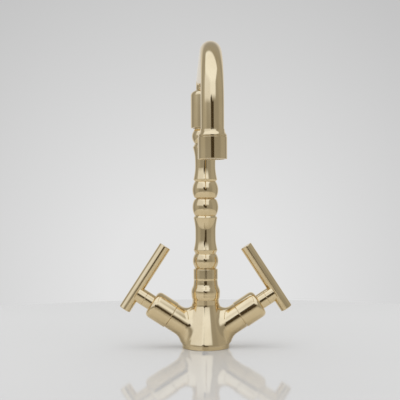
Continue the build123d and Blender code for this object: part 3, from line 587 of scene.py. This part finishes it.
def plain_finish(name, tone, second, cloud, rough, relief, marks=(1.0, 1.0, 1.0), metal=0.0):
    """Two tones and a roughness that drift together, and a fine relief, which marks can stretch one way. The
    second tone is a share of the first; cloud is the drift's scale, detail and roughness."""
    tree, shader, where = new_material(name)
    shader.inputs["Metallic"].default_value = metal
    drift = noise(tree, where, *cloud)
    other = tuple(second * part for part in tone)
    tree.links.new(mixed(tree, drift, tone, other), shader.inputs["Base Color"])
    tree.links.new(spread(tree, drift, 0.3, 0.7, *rough), shader.inputs["Roughness"])
    scale, depth = relief
    bumped(tree, shader, noise(tree, stretched(tree, where, marks), scale, 2.0), depth)
    return shader


def ceramic():
    """Lapped alumina, smooth and faintly speckled."""
    tree, shader, where = new_material("ceramic")
    finish = sizes("finish")
    speck = spread(tree, noise(tree, where, 2200.0, 1.0), 0.6, 0.72, 0.0, 1.0)
    grey = tuple(0.86 * part for part in finish.ceramic)
    tree.links.new(mixed(tree, speck, finish.ceramic, grey), shader.inputs["Base Color"])
    tree.links.new(spread(tree, speck, 0.0, 1.0, 0.14, 0.22), shader.inputs["Roughness"])
    bumped(tree, shader, noise(tree, where, 900.0, 2.0), 2e-6)


def gauze():
    """Woven steel gauze: two crossing sets of wires, as relief and as tone, with painted shade in the
    near-black gaps between the wires.
    """
    tree, shader, where = new_material("gauze")
    finish = sizes("finish")
    waves = []
    for across in put(tree, "ShaderNodeSeparateXYZ", where)[:2]:
        turns = maths(tree, "MULTIPLY", across, 2 * pi / finish.mesh)
        waves.append(maths(tree, "ABSOLUTE", maths(tree, "SINE", turns)))
    wires = maths(tree, "MAXIMUM", *waves)
    shader.inputs["Metallic"].default_value = 1.0
    # Painted shade: the gaps between the wires are near black, standing in for the dark seen through the
    # gauze's holes
    shade = spread(tree, wires, 0.45, 0.8, 0.0, 1.0)
    tree.links.new(mixed(tree, shade, (0.03, 0.03, 0.03), finish.steel), shader.inputs["Base Color"])
    tree.links.new(spread(tree, noise(tree, where, 800.0), 0.3, 0.7, 0.25, 0.4), shader.inputs["Roughness"])
    bumped(tree, shader, wires, 1.5e-4)


# CAD nodes of each finish, whichever side they are on
NODE_FINISHES = {
    "rubber": ("base_seal", "column_seals", "spigot_seals", "aerator_washer", "seat_seal", "cartridge_seal",
               "spindle_seals"),
    "acetal": ("lower_glide_ring", "upper_glide_ring", "aerator_insert"),
    "gauze": ("aerator_screens",),
    "ceramic": ("fixed_disc", "moving_disc"),
    "steel": ("circlip", "bar_screw"),
    "black_steel": ("grub_screw",),
    "plain_brass": ("spout_spigot", "cartridge_body", "spindle"),
    "cast_brass": ("base_body",),
    "drawn_brass": ("spout_elbow", "spout_tube", "handle_bar"),
    "turned_brass": ("lower_column", "upper_column", "spout_nut", "spout_ferrule", "aerator_housing",
                     "bonnet", "handle_hub", "saddle_ring"),
}


class FAUCET_OT_finishes(bpy.types.Operator):
    """Makes the finishes and gives each CAD node its own."""
    bl_idname = "faucet.finishes"
    bl_label = "Finishes"

    def execute(self, context):
        polished_brass("cast_brass", 6.0e-5)
        polished_brass("turned_brass", 1.2e-5)
        polished_brass("drawn_brass", 2.0e-5)
        finish = sizes("finish")
        # Machined brass, dull and finely ringed
        plain_finish("plain_brass", finish.plain, 0.8, (90.0, 3.0), (0.24, 0.38), (1.0, 8e-6),
                     (40.0, 40.0, 2600.0), 1.0)
        # Brushed steel, bright and blackened
        for name in ("steel", "black_steel"):
            plain_finish(name, getattr(finish, name), 0.82, (220.0, 3.0), (0.2, 0.36), (1.0, 6e-6),
                         (2400.0, 2400.0, 300.0), 1.0)
        # Nitrile rubber with a faint bloom
        plain_finish("rubber", finish.rubber, 2.4, (160.0, 4.0, 0.6), (0.55, 0.75), (3200.0, 2e-5))
        # Moulded acetal, a little translucent
        acetal = plain_finish("acetal", finish.acetal, 0.93, (110.0, 2.0), (0.32, 0.46), (2600.0, 1e-5))
        acetal.inputs["Subsurface Weight"].default_value = 0.12
        acetal.inputs["Subsurface Radius"].default_value = (0.002, 0.002, 0.002)
        ceramic()
        gauze()
        finish_of = {node: name for name, nodes in NODE_FINISHES.items() for node in nodes}
        for node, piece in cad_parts.items():
            kind = node.removeprefix("hot_").removeprefix("cold_")
            piece.data.materials.clear()
            piece.data.materials.append(MATERIALS[finish_of[kind]])
        TREES["turning"] = turning_tree()
        TREES["bending"] = bending_tree()
        return {"FINISHED"}


# Body casting

def trunk_radius(z):
    """Radius of the foot, waist and neck at each height, and its slope."""
    casting = sizes("casting")
    far = 1000 * MM
    marks = np.array([
        (casting.foot_radius, -far), (casting.foot_radius, casting.foot_side),
        (casting.waist_radius, casting.waist_height), (casting.neck_radius, casting.neck_height),
        (casting.neck_radius, far)])
    marks = np.concatenate([marks[:2], bowed(marks[2], marks[3], casting.neck_bow), marks[4:]])
    fine = np.linspace(-10 * MM, 70 * MM, 1601)
    sharp = np.interp(fine, marks[:, 1], marks[:, 0])
    reach = 61
    kernel = np.hanning(reach)
    smooth = np.convolve(np.pad(sharp, reach // 2, mode="edge"), kernel / kernel.sum(), mode="valid")
    slopes = np.gradient(smooth, fine)
    return np.interp(z, fine, smooth), np.interp(z, fine, slopes)


def casting_field(points):
    """Signed distance, roughly, from the blended trunk and arms, and its direction, at each point."""
    casting = sizes("casting")
    across = np.hypot(points[:, 0], points[:, 1])
    radius, slope = trunk_radius(points[:, 2])
    steep = np.sqrt(1 + slope ** 2)
    trunk = (across - radius) / steep
    out = points[:, :2] / np.maximum(across, 1e-6)[:, None]
    trunk_way = np.stack([out[:, 0] / steep, out[:, 1] / steep, -slope / steep], axis=1)
    arm = np.full(len(points), 1e3)
    arm_way = np.zeros_like(points)
    for side in SIDES:
        place = arm_place(side)
        axis = np.array(place.to_3x3().col[2])
        offset = points - np.array([0.0, 0.0, casting.arm_height])
        along = np.maximum(offset @ axis, 0.0)
        away = offset - along[:, None] * axis
        size = np.linalg.norm(away, axis=1)
        nearer = size - casting.arm_radius < arm
        arm = np.where(nearer, size - casting.arm_radius, arm)
        arm_way = np.where(nearer[:, None], away / np.maximum(size, 1e-6)[:, None], arm_way)
    facing = (trunk_way * arm_way).sum(axis=1)
    low, high = casting.arm_height, casting.neck_height
    rise = np.clip((points[:, 2] - low) / (high - low), 0.0, 1.0)
    blend = casting.foot_blend + (casting.neck_blend - casting.foot_blend) * rise
    reach = blend * np.clip(1.0 - facing, 0.05, 2.0)
    from_trunk = np.maximum(reach - trunk, 0.0)
    from_arm = np.maximum(reach - arm, 0.0)
    rounded = np.hypot(from_trunk, from_arm)
    distance = np.maximum(reach, np.minimum(trunk, arm)) - rounded
    share_trunk = np.where(rounded > 1e-9, from_trunk, trunk < arm)
    share_arm = np.where(rounded > 1e-9, from_arm, trunk >= arm)
    way = trunk_way * share_trunk[:, None] + arm_way * share_arm[:, None]
    way /= np.maximum(np.linalg.norm(way, axis=1), 1e-9)[:, None]
    return distance, way


def rough_casting():
    """Plain cylinders that overlap where the casting is, longer than it at every end."""
    casting = sizes("casting")
    over = 4 * MM
    upright = Matrix.Identity(4)
    rows = [(casting.foot_radius, -over, casting.waist_height, upright, casting.waist_radius),
            (casting.neck_radius, 0.0, casting.neck_top + over, upright)]
    rows += [(casting.arm_radius, 0.0, casting.arm_end + over, arm_place(side)) for side in SIDES]
    return cylinders(rows)


def drawn_to_casting(mesh):
    """Relaxes the mesh and draws it to the casting's true surface, by turns, and ends with the drawing."""
    rounds, relaxed, furthest = 14, 11, 3 * MM
    points = np.zeros(len(mesh.vertices) * 3)
    mesh.vertices.foreach_get("co", points)
    points = points.reshape(-1, 3)
    ends = np.zeros(len(mesh.edges) * 2, dtype=int)
    mesh.edges.foreach_get("vertices", ends)
    a, b = ends.reshape(-1, 2).T
    count = np.zeros(len(points))
    np.add.at(count, a, 1.0)
    np.add.at(count, b, 1.0)
    for step in range(rounds):
        if step < relaxed:
            total = np.zeros_like(points)
            np.add.at(total, a, points[b])
            np.add.at(total, b, points[a])
            points = 0.5 * points + 0.5 * total / count[:, None]
        for _ in range(2):
            distance, way = casting_field(points)
            points -= np.clip(distance, -furthest, furthest)[:, None] * way
    mesh.vertices.foreach_set("co", points.ravel())
    mesh.update()


def rim(work, point, direction, steps):
    """Cuts the mesh flat at a plane, carries the open rim through steps of radius and distance along the
    plane's direction, measured from the point, and closes the last rim with a face."""
    away = Vector(direction)
    whole = work.verts[:] + work.edges[:] + work.faces[:]
    cut = bmesh.ops.bisect_plane(
        work, geom=whole, dist=1e-7, plane_co=point, plane_no=away, clear_outer=True)["geom_cut"]
    edges = [item for item in cut if isinstance(item, bmesh.types.BMEdge)]
    for radius, along in steps:
        grown = bmesh.ops.extrude_edge_only(work, edges=edges)["geom"]
        edges = [item for item in grown if isinstance(item, bmesh.types.BMEdge)]
        for vertex in [item for item in grown if isinstance(item, bmesh.types.BMVert)]:
            flat = vertex.co - Vector(point)
            flat -= flat.dot(away) * away
            vertex.co = Vector(point) + flat.normalized() * radius + away * along
        edges = [edge for edge in edges if len(edge.link_faces) == 1]
    bmesh.ops.contextual_create(work, geom=edges)


def stepped(start, *bores):
    """Steps along a bore of several radii. Each is its radius and the place where it ends."""
    steps = []
    for radius, end in bores:
        steps += [(radius, start), (radius, end)]
        start = end
    return steps


def rounded_rim(radius, edge, turn_in):
    """Steps of a rim that is rounded from its side to its end face and goes on to further steps."""
    steps = []
    for quarter in (0.25, 0.5, 0.75, 1.0):
        angle = quarter * pi / 2
        steps.append((radius - edge * (1 - cos(angle)), edge * sin(angle)))
    return steps + [(step_radius, edge + along) for step_radius, along in turn_in]


class FAUCET_OT_casting(bpy.types.Operator):
    """Makes the body casting with its blended arms, rims, sockets and valve chambers."""
    bl_idname = "faucet.casting"
    bl_label = "Body casting"

    def execute(self, context):
        casting = sizes("casting")
        rough = new_object("rough", rough_casting())
        remesh = rough.modifiers.new("grain", "REMESH")
        remesh.mode = "VOXEL"
        remesh.voxel_size = casting.grain
        body = settle(rough, "casting")
        drawn_to_casting(body.data)
        edge, soft = casting.edge, casting.bore_edge
        seal = stepped(0.0, (casting.seal_outer, -casting.seal_deep), (casting.seal_inner, 0.0))
        socket = stepped(0.0, (casting.socket_radius, -casting.socket_deep),
                         (casting.mixing_radius, -casting.mixing_deep))
        chamber = stepped(0.0, (casting.thread_radius, casting.thread_long),
                          (casting.chamber_radius, -casting.chamber_deep),
                          (casting.seat_radius, -casting.seat_deep))
        with edited(body.data) as work:
            rim(work, (0.0, 0.0, edge), (0.0, 0.0, -1.0), rounded_rim(casting.foot_radius, edge, seal))
            rim(work, (0.0, 0.0, casting.neck_top - soft), (0.0, 0.0, 1.0),
                rounded_rim(casting.neck_radius, soft, socket))
            for side in SIDES:
                place = arm_place(side)
                centre = place @ Vector((0.0, 0.0, casting.arm_end - soft))
                rim(work, centre, place.to_3x3().col[2], rounded_rim(casting.arm_radius, soft, chamber))
            bmesh.ops.triangulate(work, faces=[face for face in work.faces if len(face.verts) > 4])
        face_outwards(body.data)
        over = 2 * MM
        place = Matrix.Translation((0.0, casting.stud_place, 0.0))
        holes = [(casting.stud_radius, -over, casting.stud_deep, place)]
        for side in (-1, 1):
            place = Matrix.Translation((side * casting.inlet_side, casting.inlet_back, 0.0))
            holes.append((casting.inlet_radius, -over, casting.inlet_deep, place))
            holes.append((casting.port_radius, 0.0, casting.port_top, place))
        body = bored(body, holes)
        body.data.materials.clear()
        body.data.materials.append(MATERIALS["cast_brass"])
        hand_over(body, "deck_body", "base_body")
        return {"FINISHED"}


# Column and nut

def bamboo(way, short_bead, outer_lip):
    """Marks from the deep groove to the end of the short bead; way is 1 upwards and -1 downwards. A row is
    radius, distance from the joint and softness in millimetres, and bow."""
    column = sizes("column")
    end, groove, hollow = column.bead_edge, column.groove, column.hollow
    rows = [
        (column.deep_groove, 0.0, 0.0), (column.deep_groove, 0.35, 0.3),
        (end, 0.75, 0.5), (end, 17.6, 0.45, column.bead - end), (groove, 18.05, 0.25),
        (column.lip, 20.2, 0.5), (column.waist, 38.2, 6.0, hollow), (outer_lip, 54.4, 0.5, hollow),
        (groove, 58.0, 0.4), (groove, 58.45, 0.2),
        (end, 58.9, 0.4), (end, 72.9, 0.4, short_bead - end)]
    return [(radius, column.joint + way * along * MM, corner * MM, *bow)
            for radius, along, corner, *bow in rows]


def downwards(marks):
    """The same marks walked from the far end, so that each bow stays on its own stretch."""
    walked = []
    for index in range(len(marks) - 1, -1, -1):
        bow = marks[index + 1][3:] if index + 1 < len(marks) else ()
        walked.append((*marks[index][:3], *bow))
    return walked


def in_mm(*marks):
    """Marks given in millimetres."""
    return [tuple(part * MM for part in mark) for mark in marks]


class FAUCET_OT_column(bpy.types.Operator):
    """Turns the two lengths of the column and the spout nut. Marks are as for an outline."""
    bl_idname = "faucet.column"
    bl_label = "Column and nut"

    def execute(self, context):
        casting, column, spout = sizes("casting"), sizes("column"), sizes("spout")
        joint, base = column.joint, casting.neck_top
        spigot = casting.socket_radius - FIT
        lower = stepped(base - column.spigot, (spigot, base))
        lower += [(casting.neck_radius, base, 0.2 * MM)]
        lower += in_mm(
            (15.0, 55.0, 1.2, 0.3), (15.0, 61.6, 2.4, 0.25), (12.85, 68.4, 1.5, -0.6), (12.5, 71.0, 0.8),
            (12.85, 72.5, 0.4), (12.85, 82.5, 0.5), (11.1, 83.4, 0.3))
        lower += downwards(bamboo(-1, 13.5 * MM, column.lip))
        lower += stepped(
            joint, (column.socket_radius, joint - column.socket), (column.bore, base - column.spigot))
        hand_over(turned("lower_column_turned", lower, "turned_brass"), "deck_body", "lower_column")
        spigot = column.socket_radius - FIT
        upper = [(column.bore, joint - column.spigot), (spigot, joint - column.spigot), (spigot, joint)]
        upper += bamboo(1, 14.1 * MM, 13.2 * MM)
        upper += in_mm((11.6, 232.7, 0.2), (12.45, 233.2, 0.2))
        upper += [(column.thread, column.top, 0.3 * MM), (column.seat, column.top),
                  (column.seat, column.seat_low), (column.bore, column.seat_low)]
        hand_over(turned("upper_column_turned", upper, "turned_brass"), "deck_body", "upper_column")
        low, high = (corner.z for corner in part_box("spout_nut"))
        neck = spout.tube + 0.3 * MM
        roof, shelf = low + spout.nut_cavity_top, low + spout.nut_thread_long
        nut = [
            (spout.nut_thread, low), (spout.nut, low, 0.6 * MM), (spout.nut, high - spout.nut_dome, 1.6 * MM),
            (neck, high, 0.25 * MM, 0.9 * MM), (neck, roof), (spout.nut_cavity, roof),
            (spout.nut_cavity, shelf), (spout.nut_thread, shelf)]
        hand_over(turned("spout_nut_turned", nut, "turned_brass"), "deck_body", "spout_nut")
        return {"FINISHED"}


# Spout and outlet

def bent(name, route, bend, wall):
    """A tube of the spout's radius along a route, open at both ends."""
    spout = sizes("spout")
    piece = with_tree(
        name, chain(route), TREES["bending"], tube_radius=spout.tube, bend_radius=bend, bend_steps=72,
        steps_around=sizes("stage").steps, crease_angle=CREASE, finish=MATERIALS["drawn_brass"])
    shell = piece.modifiers.new("wall", "SOLIDIFY")
    shell.thickness = wall
    shell.offset = -1.0
    tube = settle(piece, name)
    mark_creases(tube.data)
    return tube


class FAUCET_OT_spout(bpy.types.Operator):
    """Bends the spout's tube and its elbow."""
    bl_idname = "faucet.spout"
    bl_label = "Spout"

    def execute(self, context):
        spout = sizes("spout")
        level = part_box("spout_tube")[1].z - spout.tube
        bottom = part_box("spout_elbow")[0].z
        joint = (0.0, -spout.elbow_end, level)
        elbow = bent("spout_elbow_bent", [(0.0, 0.0, bottom), (0.0, 0.0, level), joint],
                     spout.elbow_bend, spout.elbow_wall)
        hand_over(elbow, "spout", "spout_elbow")
        leg_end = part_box("spout_tube")[0].z
        tube = bent("spout_tube_bent", [joint, (0.0, -spout.reach, level), (0.0, -spout.reach, leg_end)],
                    spout.front_bend, spout.wall)
        hand_over(tube, "spout", "spout_tube")
        return {"FINISHED"}


class FAUCET_OT_outlet(bpy.types.Operator):
    """Turns the ferrule and the aerator housing."""
    bl_idname = "faucet.outlet"
    bl_label = "Outlet"

    def execute(self, context):
        spout = sizes("spout")
        outlet = sizes("outlet")
        place = Matrix.Translation((0.0, -spout.reach, 0.0))
        low, top = (corner.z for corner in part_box("aerator_housing"))
        nose, ferrule_top = (corner.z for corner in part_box("spout_ferrule"))
        inside, bore, seat = outlet.housing - outlet.housing_wall, outlet.bore, spout.tube + FIT
        ferrule_low = top + outlet.gap
        seat_low = ferrule_low + outlet.tube_seat
        ferrule = [
            (bore, nose), (inside - FIT, nose), (inside - FIT, ferrule_low),
            (outlet.ferrule, ferrule_low, 0.25 * MM), (outlet.ferrule, ferrule_top - outlet.flare, 0.5 * MM),
            (seat + 0.35 * MM, ferrule_top, 0.12 * MM, -0.5 * MM), (seat, ferrule_top),
            (seat, seat_low), (bore, seat_low)]
        hand_over(turned("ferrule_turned", ferrule, "turned_brass", place), "spout", "spout_ferrule")
        housing = [
            (outlet.mouth, low, 0.15 * MM), (outlet.housing, low, 0.6 * MM), (outlet.housing, top, 0.35 * MM),
            (inside, top), (inside, low + outlet.lip_top), (outlet.mouth, low + outlet.lip_low)]
        hand_over(turned("housing_turned", housing, "turned_brass", place), "spout", "aerator_housing")
        return {"FINISHED"}


# Bonnets and handles

def bar_place():
    """From a bar's own frame, with its axis along Z, to the arm's frame."""
    casting = sizes("casting")
    handle = sizes("handle")
    along = casting.arm_end + handle.bonnet_length + handle.bar_place
    return Matrix.Translation((0.0, 0.0, along)) @ Matrix.Rotation(pi / 2, 4, "Y")


class FAUCET_OT_handles(bpy.types.Operator):
    """Makes the bonnet, hub, saddle ring and bar of each side."""
    bl_idname = "faucet.handles"
    bl_label = "Bonnets and handles"

    def execute(self, context):
        casting = sizes("casting")
        handle = sizes("handle")
        low = casting.arm_end + handle.seam
        face = casting.arm_end + handle.bonnet_length
        roof = face - handle.bonnet_roof
        hole = handle.hub + handle.seam
        thread = casting.thread_radius + FIT
        bonnet = [
            (thread, low), (handle.bonnet, low, 0.55 * MM), (handle.bonnet, face, handle.bonnet_round),
            (hole, face, 0.1 * MM), (hole, roof), (thread, roof)]
        bar_along = face + handle.bar_place
        ring_low = bar_along - handle.bar - handle.saddle
        ring_top = bar_along - handle.wrap
        hub_low = face - handle.hub_sunk
        hub_floor = hub_low + handle.hub_bore_deep
        hub = stepped(ring_low, (handle.screw, hub_floor), (handle.spline, hub_low))
        hub += [(handle.hub, hub_low, 0.4 * MM), (handle.hub, ring_low, 0.35 * MM)]
        under = Matrix.Translation((0.0, 0.0, face + handle.grub_place)) @ Matrix.Rotation(-pi / 2, 4, "Y")
        grub_hole = (handle.grub, handle.spline / 2, handle.hub + 1 * MM, under)
        ring = [
            (handle.screw, ring_low), (handle.hub, ring_low, 0.35 * MM), (handle.hub, ring_top, 0.3 * MM),
            (handle.screw, ring_top)]
        bar_hole = (handle.bar + handle.bar_play, -2 * handle.hub, 2 * handle.hub, bar_place())
        bar = [
            (0.0, -handle.bar_short), (handle.bar, -handle.bar_short, handle.bar_edge),
            (handle.bar, handle.bar_long, handle.bar_edge), (0.0, handle.bar_long)]
        for side in SIDES:
            place = arm_place(side)
            piece = turned(side + "_bonnet_turned", bonnet, "turned_brass", place)
            hand_over(piece, "deck_body", side + "_bonnet")
            for name, marks, cut, node in (
                    ("hub", hub, grub_hole, "handle_hub"), ("saddle", ring, bar_hole, "saddle_ring")):
                piece = bored(turned(f"{side}_{name}_turned", marks, "turned_brass"), [cut])
                piece.data.transform(place)
                hand_over(piece, side + "_handle", f"{side}_{node}")
            piece = turned(side + "_bar_turned", bar, "drawn_brass", place @ bar_place())
            hand_over(piece, side + "_handle", side + "_handle_bar")
        return {"FINISHED"}


# Stage

class Card(NamedTuple):
    """A soft-edged shape that the brass mirrors. Angles are in degrees, seen from the faucet: bearing from
    straight ahead, with left negative, height of its middle, half its width and height, softness and lean."""
    bearing: float
    height: float
    wide: float
    tall: float
    soft: float
    lean: float
    tone: tuple


# Tone of the two dark shapes in front of the faucet
DARK = (0.060, 0.046, 0.028)
STUDIO = {
    "backdrop": Card(180, 4, 42, 30, 26, 0, (0.74, 0.74, 0.74)),
    "left wall": Card(-84, 5, 22, 50, 22, 0, (0.46, 0.46, 0.46)),
    "right wall": Card(88, 5, 24, 50, 22, 0, (0.44, 0.44, 0.44)),
    "ceiling light": Card(-28, 64, 44, 38, 14, 0, (1.04, 1.15, 1.42)),
    "side window": Card(-52, 28, 33, 17, 12, 0, (0.86, 0.93, 1.12)),
    "front light": Card(4, 31, 25, 13, 14, 0, (0.98, 1.08, 1.33)),
    "dark screen": Card(-9.5, 8.5, 6.5, 12, 4, 36, DARK),
    "dark stand": Card(2, 3, 9, 8, 4, 0, DARK),
}


def edge_of(tree, slope, half, soft):
    """1 within half an angle of a card's middle and 0 outside, with a soft edge; the slope is a tangent."""
    inner = tan(radians(half)) - tan(radians(soft)) / 2
    outer = tan(radians(half)) + tan(radians(soft)) / 2
    node = put(tree, "ShaderNodeMapRange", slope, inner, outer, 1.0, 0.0, interpolation_type="SMOOTHSTEP")
    return node[0]


def card_mask(tree, way, card):
    """1 where a direction meets the card and 0 elsewhere."""
    facing = Matrix.Rotation(radians(card.bearing), 3, "Z") @ Matrix.Rotation(-radians(card.height), 3, "X")
    across, back, up = (facing @ Matrix.Rotation(-radians(card.lean), 3, "Y")).col
    depth = put(tree, "ShaderNodeVectorMath", way, -back, operation="DOT_PRODUCT")[0]
    nearest = 0.02
    mask = maths(tree, "GREATER_THAN", depth, nearest)
    for axis, half in ((across, card.wide), (up, card.tall)):
        along = put(tree, "ShaderNodeVectorMath", way, axis, operation="DOT_PRODUCT")[0]
        slope = maths(tree, "DIVIDE", maths(tree, "ABSOLUTE", along), maths(tree, "MAXIMUM", depth, nearest))
        mask = maths(tree, "MULTIPLY", mask, edge_of(tree, slope, half, card.soft))
    return mask


def studio_world():
    """Plain light for matt surfaces, a pale backdrop for the camera and a studio to mirror in the brass."""
    stage = sizes("stage")
    world = bpy.data.worlds.new("studio")
    bpy.context.scene.world = world
    world.use_nodes = True
    tree = world.node_tree
    tree.nodes.clear()
    way = tree.nodes.new("ShaderNodeTexCoord").outputs["Generated"]
    height = put(tree, "ShaderNodeSeparateXYZ", way)[2]
    away = put(tree, "ShaderNodeVectorMath", way, (0.01, 0.995, -0.1), operation="DISTANCE")[0]
    backdrop = mixed(tree, spread(tree, away, 0.1, 0.41, 0.0, 1.0), stage.backdrop_low, stage.backdrop_high)
    room = mixed(tree, spread(tree, height, -0.1, 0.7, 0.0, 1.0), stage.wall_low, stage.wall_high)
    for card in STUDIO.values():
        room = mixed(tree, card_mask(tree, way, card), room, card.tone)
    rays = tree.nodes.new("ShaderNodeLightPath").outputs
    lit = mixed(tree, rays["Is Glossy Ray"], stage.plain_light, room)
    seen = mixed(tree, rays["Is Camera Ray"], lit, backdrop)
    background = put(tree, "ShaderNodeBackground", seen, 1.0)
    output = tree.nodes.new("ShaderNodeOutputWorld")
    tree.links.new(background[0], output.inputs[0])


def lamp(name, size, place, target, strength):
    """A rectangular area lamp that faces its target."""
    light = bpy.data.lights.new(name, "AREA")
    light.shape = "RECTANGLE"
    light.size, light.size_y = size
    light.energy = strength
    holder = new_object(name, light)
    holder.location = place
    holder.rotation_euler = (Vector(target) - Vector(place)).to_track_quat("-Z", "Y").to_euler()
    holder.visible_glossy = False


class FAUCET_OT_stage(bpy.types.Operator):
    """Sets the table, the backdrop, the lamps and the camera."""
    bl_idname = "faucet.stage"
    bl_label = "Stage"

    def execute(self, context):
        stage = sizes("stage")
        table = new_object("table", bpy.data.meshes.new("table"))
        with edited(table.data) as work:
            bmesh.ops.create_circle(
                work, cap_ends=True, segments=256, radius=stage.table,
                matrix=Matrix.Translation((0.0, -0.18, -0.05 * MM)))
        tree, shader, where = new_material("table_top")
        speck = noise(tree, where, 6.0, 3.0)
        shade = tuple(0.985 * part for part in stage.table_colour)
        tree.links.new(mixed(tree, speck, stage.table_colour, shade), shader.inputs["Base Color"])
        tree.links.new(spread(tree, speck, 0.3, 0.7, 0.05, 0.07), shader.inputs["Roughness"])
        shader.inputs["IOR"].default_value = 1.45
        table.data.materials.append(MATERIALS["table_top"])
        studio_world()
        lamp("overhead", (1.6, 1.4), (-0.1, -0.15, 1.7), (0.0, 0.1, 0.0), 15.0)
        camera = bpy.data.cameras.new("camera")
        camera.lens = stage.lens
        camera.sensor_width = SENSOR
        camera.clip_start = 0.01
        holder = new_object("camera", camera)
        focal = stage.lens / SENSOR * PICTURE
        holder.location = (stage.camera_side, -stage.distance, stage.camera_height)
        yaw = atan(-stage.camera_side / stage.distance) - atan(stage.aim_side / focal)
        pitch = pi / 2 + atan(stage.aim_up / focal)
        aim = Matrix.Identity(3)
        for angle, axis in ((-yaw, "Z"), (pitch, "X"), (stage.roll, "Z")):
            aim = aim @ Matrix.Rotation(angle, 3, axis)
        holder.rotation_euler = aim.to_euler()
        context.scene.camera = holder
        context.scene.view_settings.view_transform = "Standard"
        return {"FINISHED"}


class FAUCET_PT_panel(bpy.types.Panel):
    """Lists the faucet's settings and its pieces."""
    bl_idname = "FAUCET_PT_panel"
    bl_label = "Faucet"
    bl_space_type = "VIEW_3D"
    bl_region_type = "UI"
    bl_category = "Faucet"

    def draw(self, context):
        for operator in OPERATORS:
            self.layout.operator(operator.bl_idname)
        for name, group in SETTINGS.items():
            box = self.layout.box()
            box.label(text=group.__doc__)
            for key in group.__annotations__:
                box.prop(sizes(name), key)


OPERATORS = (
    FAUCET_OT_finishes, FAUCET_OT_casting, FAUCET_OT_column, FAUCET_OT_spout, FAUCET_OT_outlet,
    FAUCET_OT_handles, FAUCET_OT_stage)


def register():
    for kind in (*SETTINGS.values(), *OPERATORS, FAUCET_PT_panel):
        bpy.utils.register_class(kind)
    for name, kind in SETTINGS.items():
        setattr(bpy.types.Scene, "faucet_" + name, PointerProperty(type=kind))


def unregister():
    for name in SETTINGS:
        delattr(bpy.types.Scene, "faucet_" + name)
    for kind in reversed((*SETTINGS.values(), *OPERATORS, FAUCET_PT_panel)):
        bpy.utils.unregister_class(kind)


def main():
    """Registers the add-on and builds every piece in order."""
    register()
    bpy.ops.faucet.finishes()
    bpy.ops.faucet.casting()
    bpy.ops.faucet.column()
    bpy.ops.faucet.spout()
    bpy.ops.faucet.outlet()
    bpy.ops.faucet.handles()
    bpy.ops.faucet.stage()


if __name__ == "__main__":
    main()
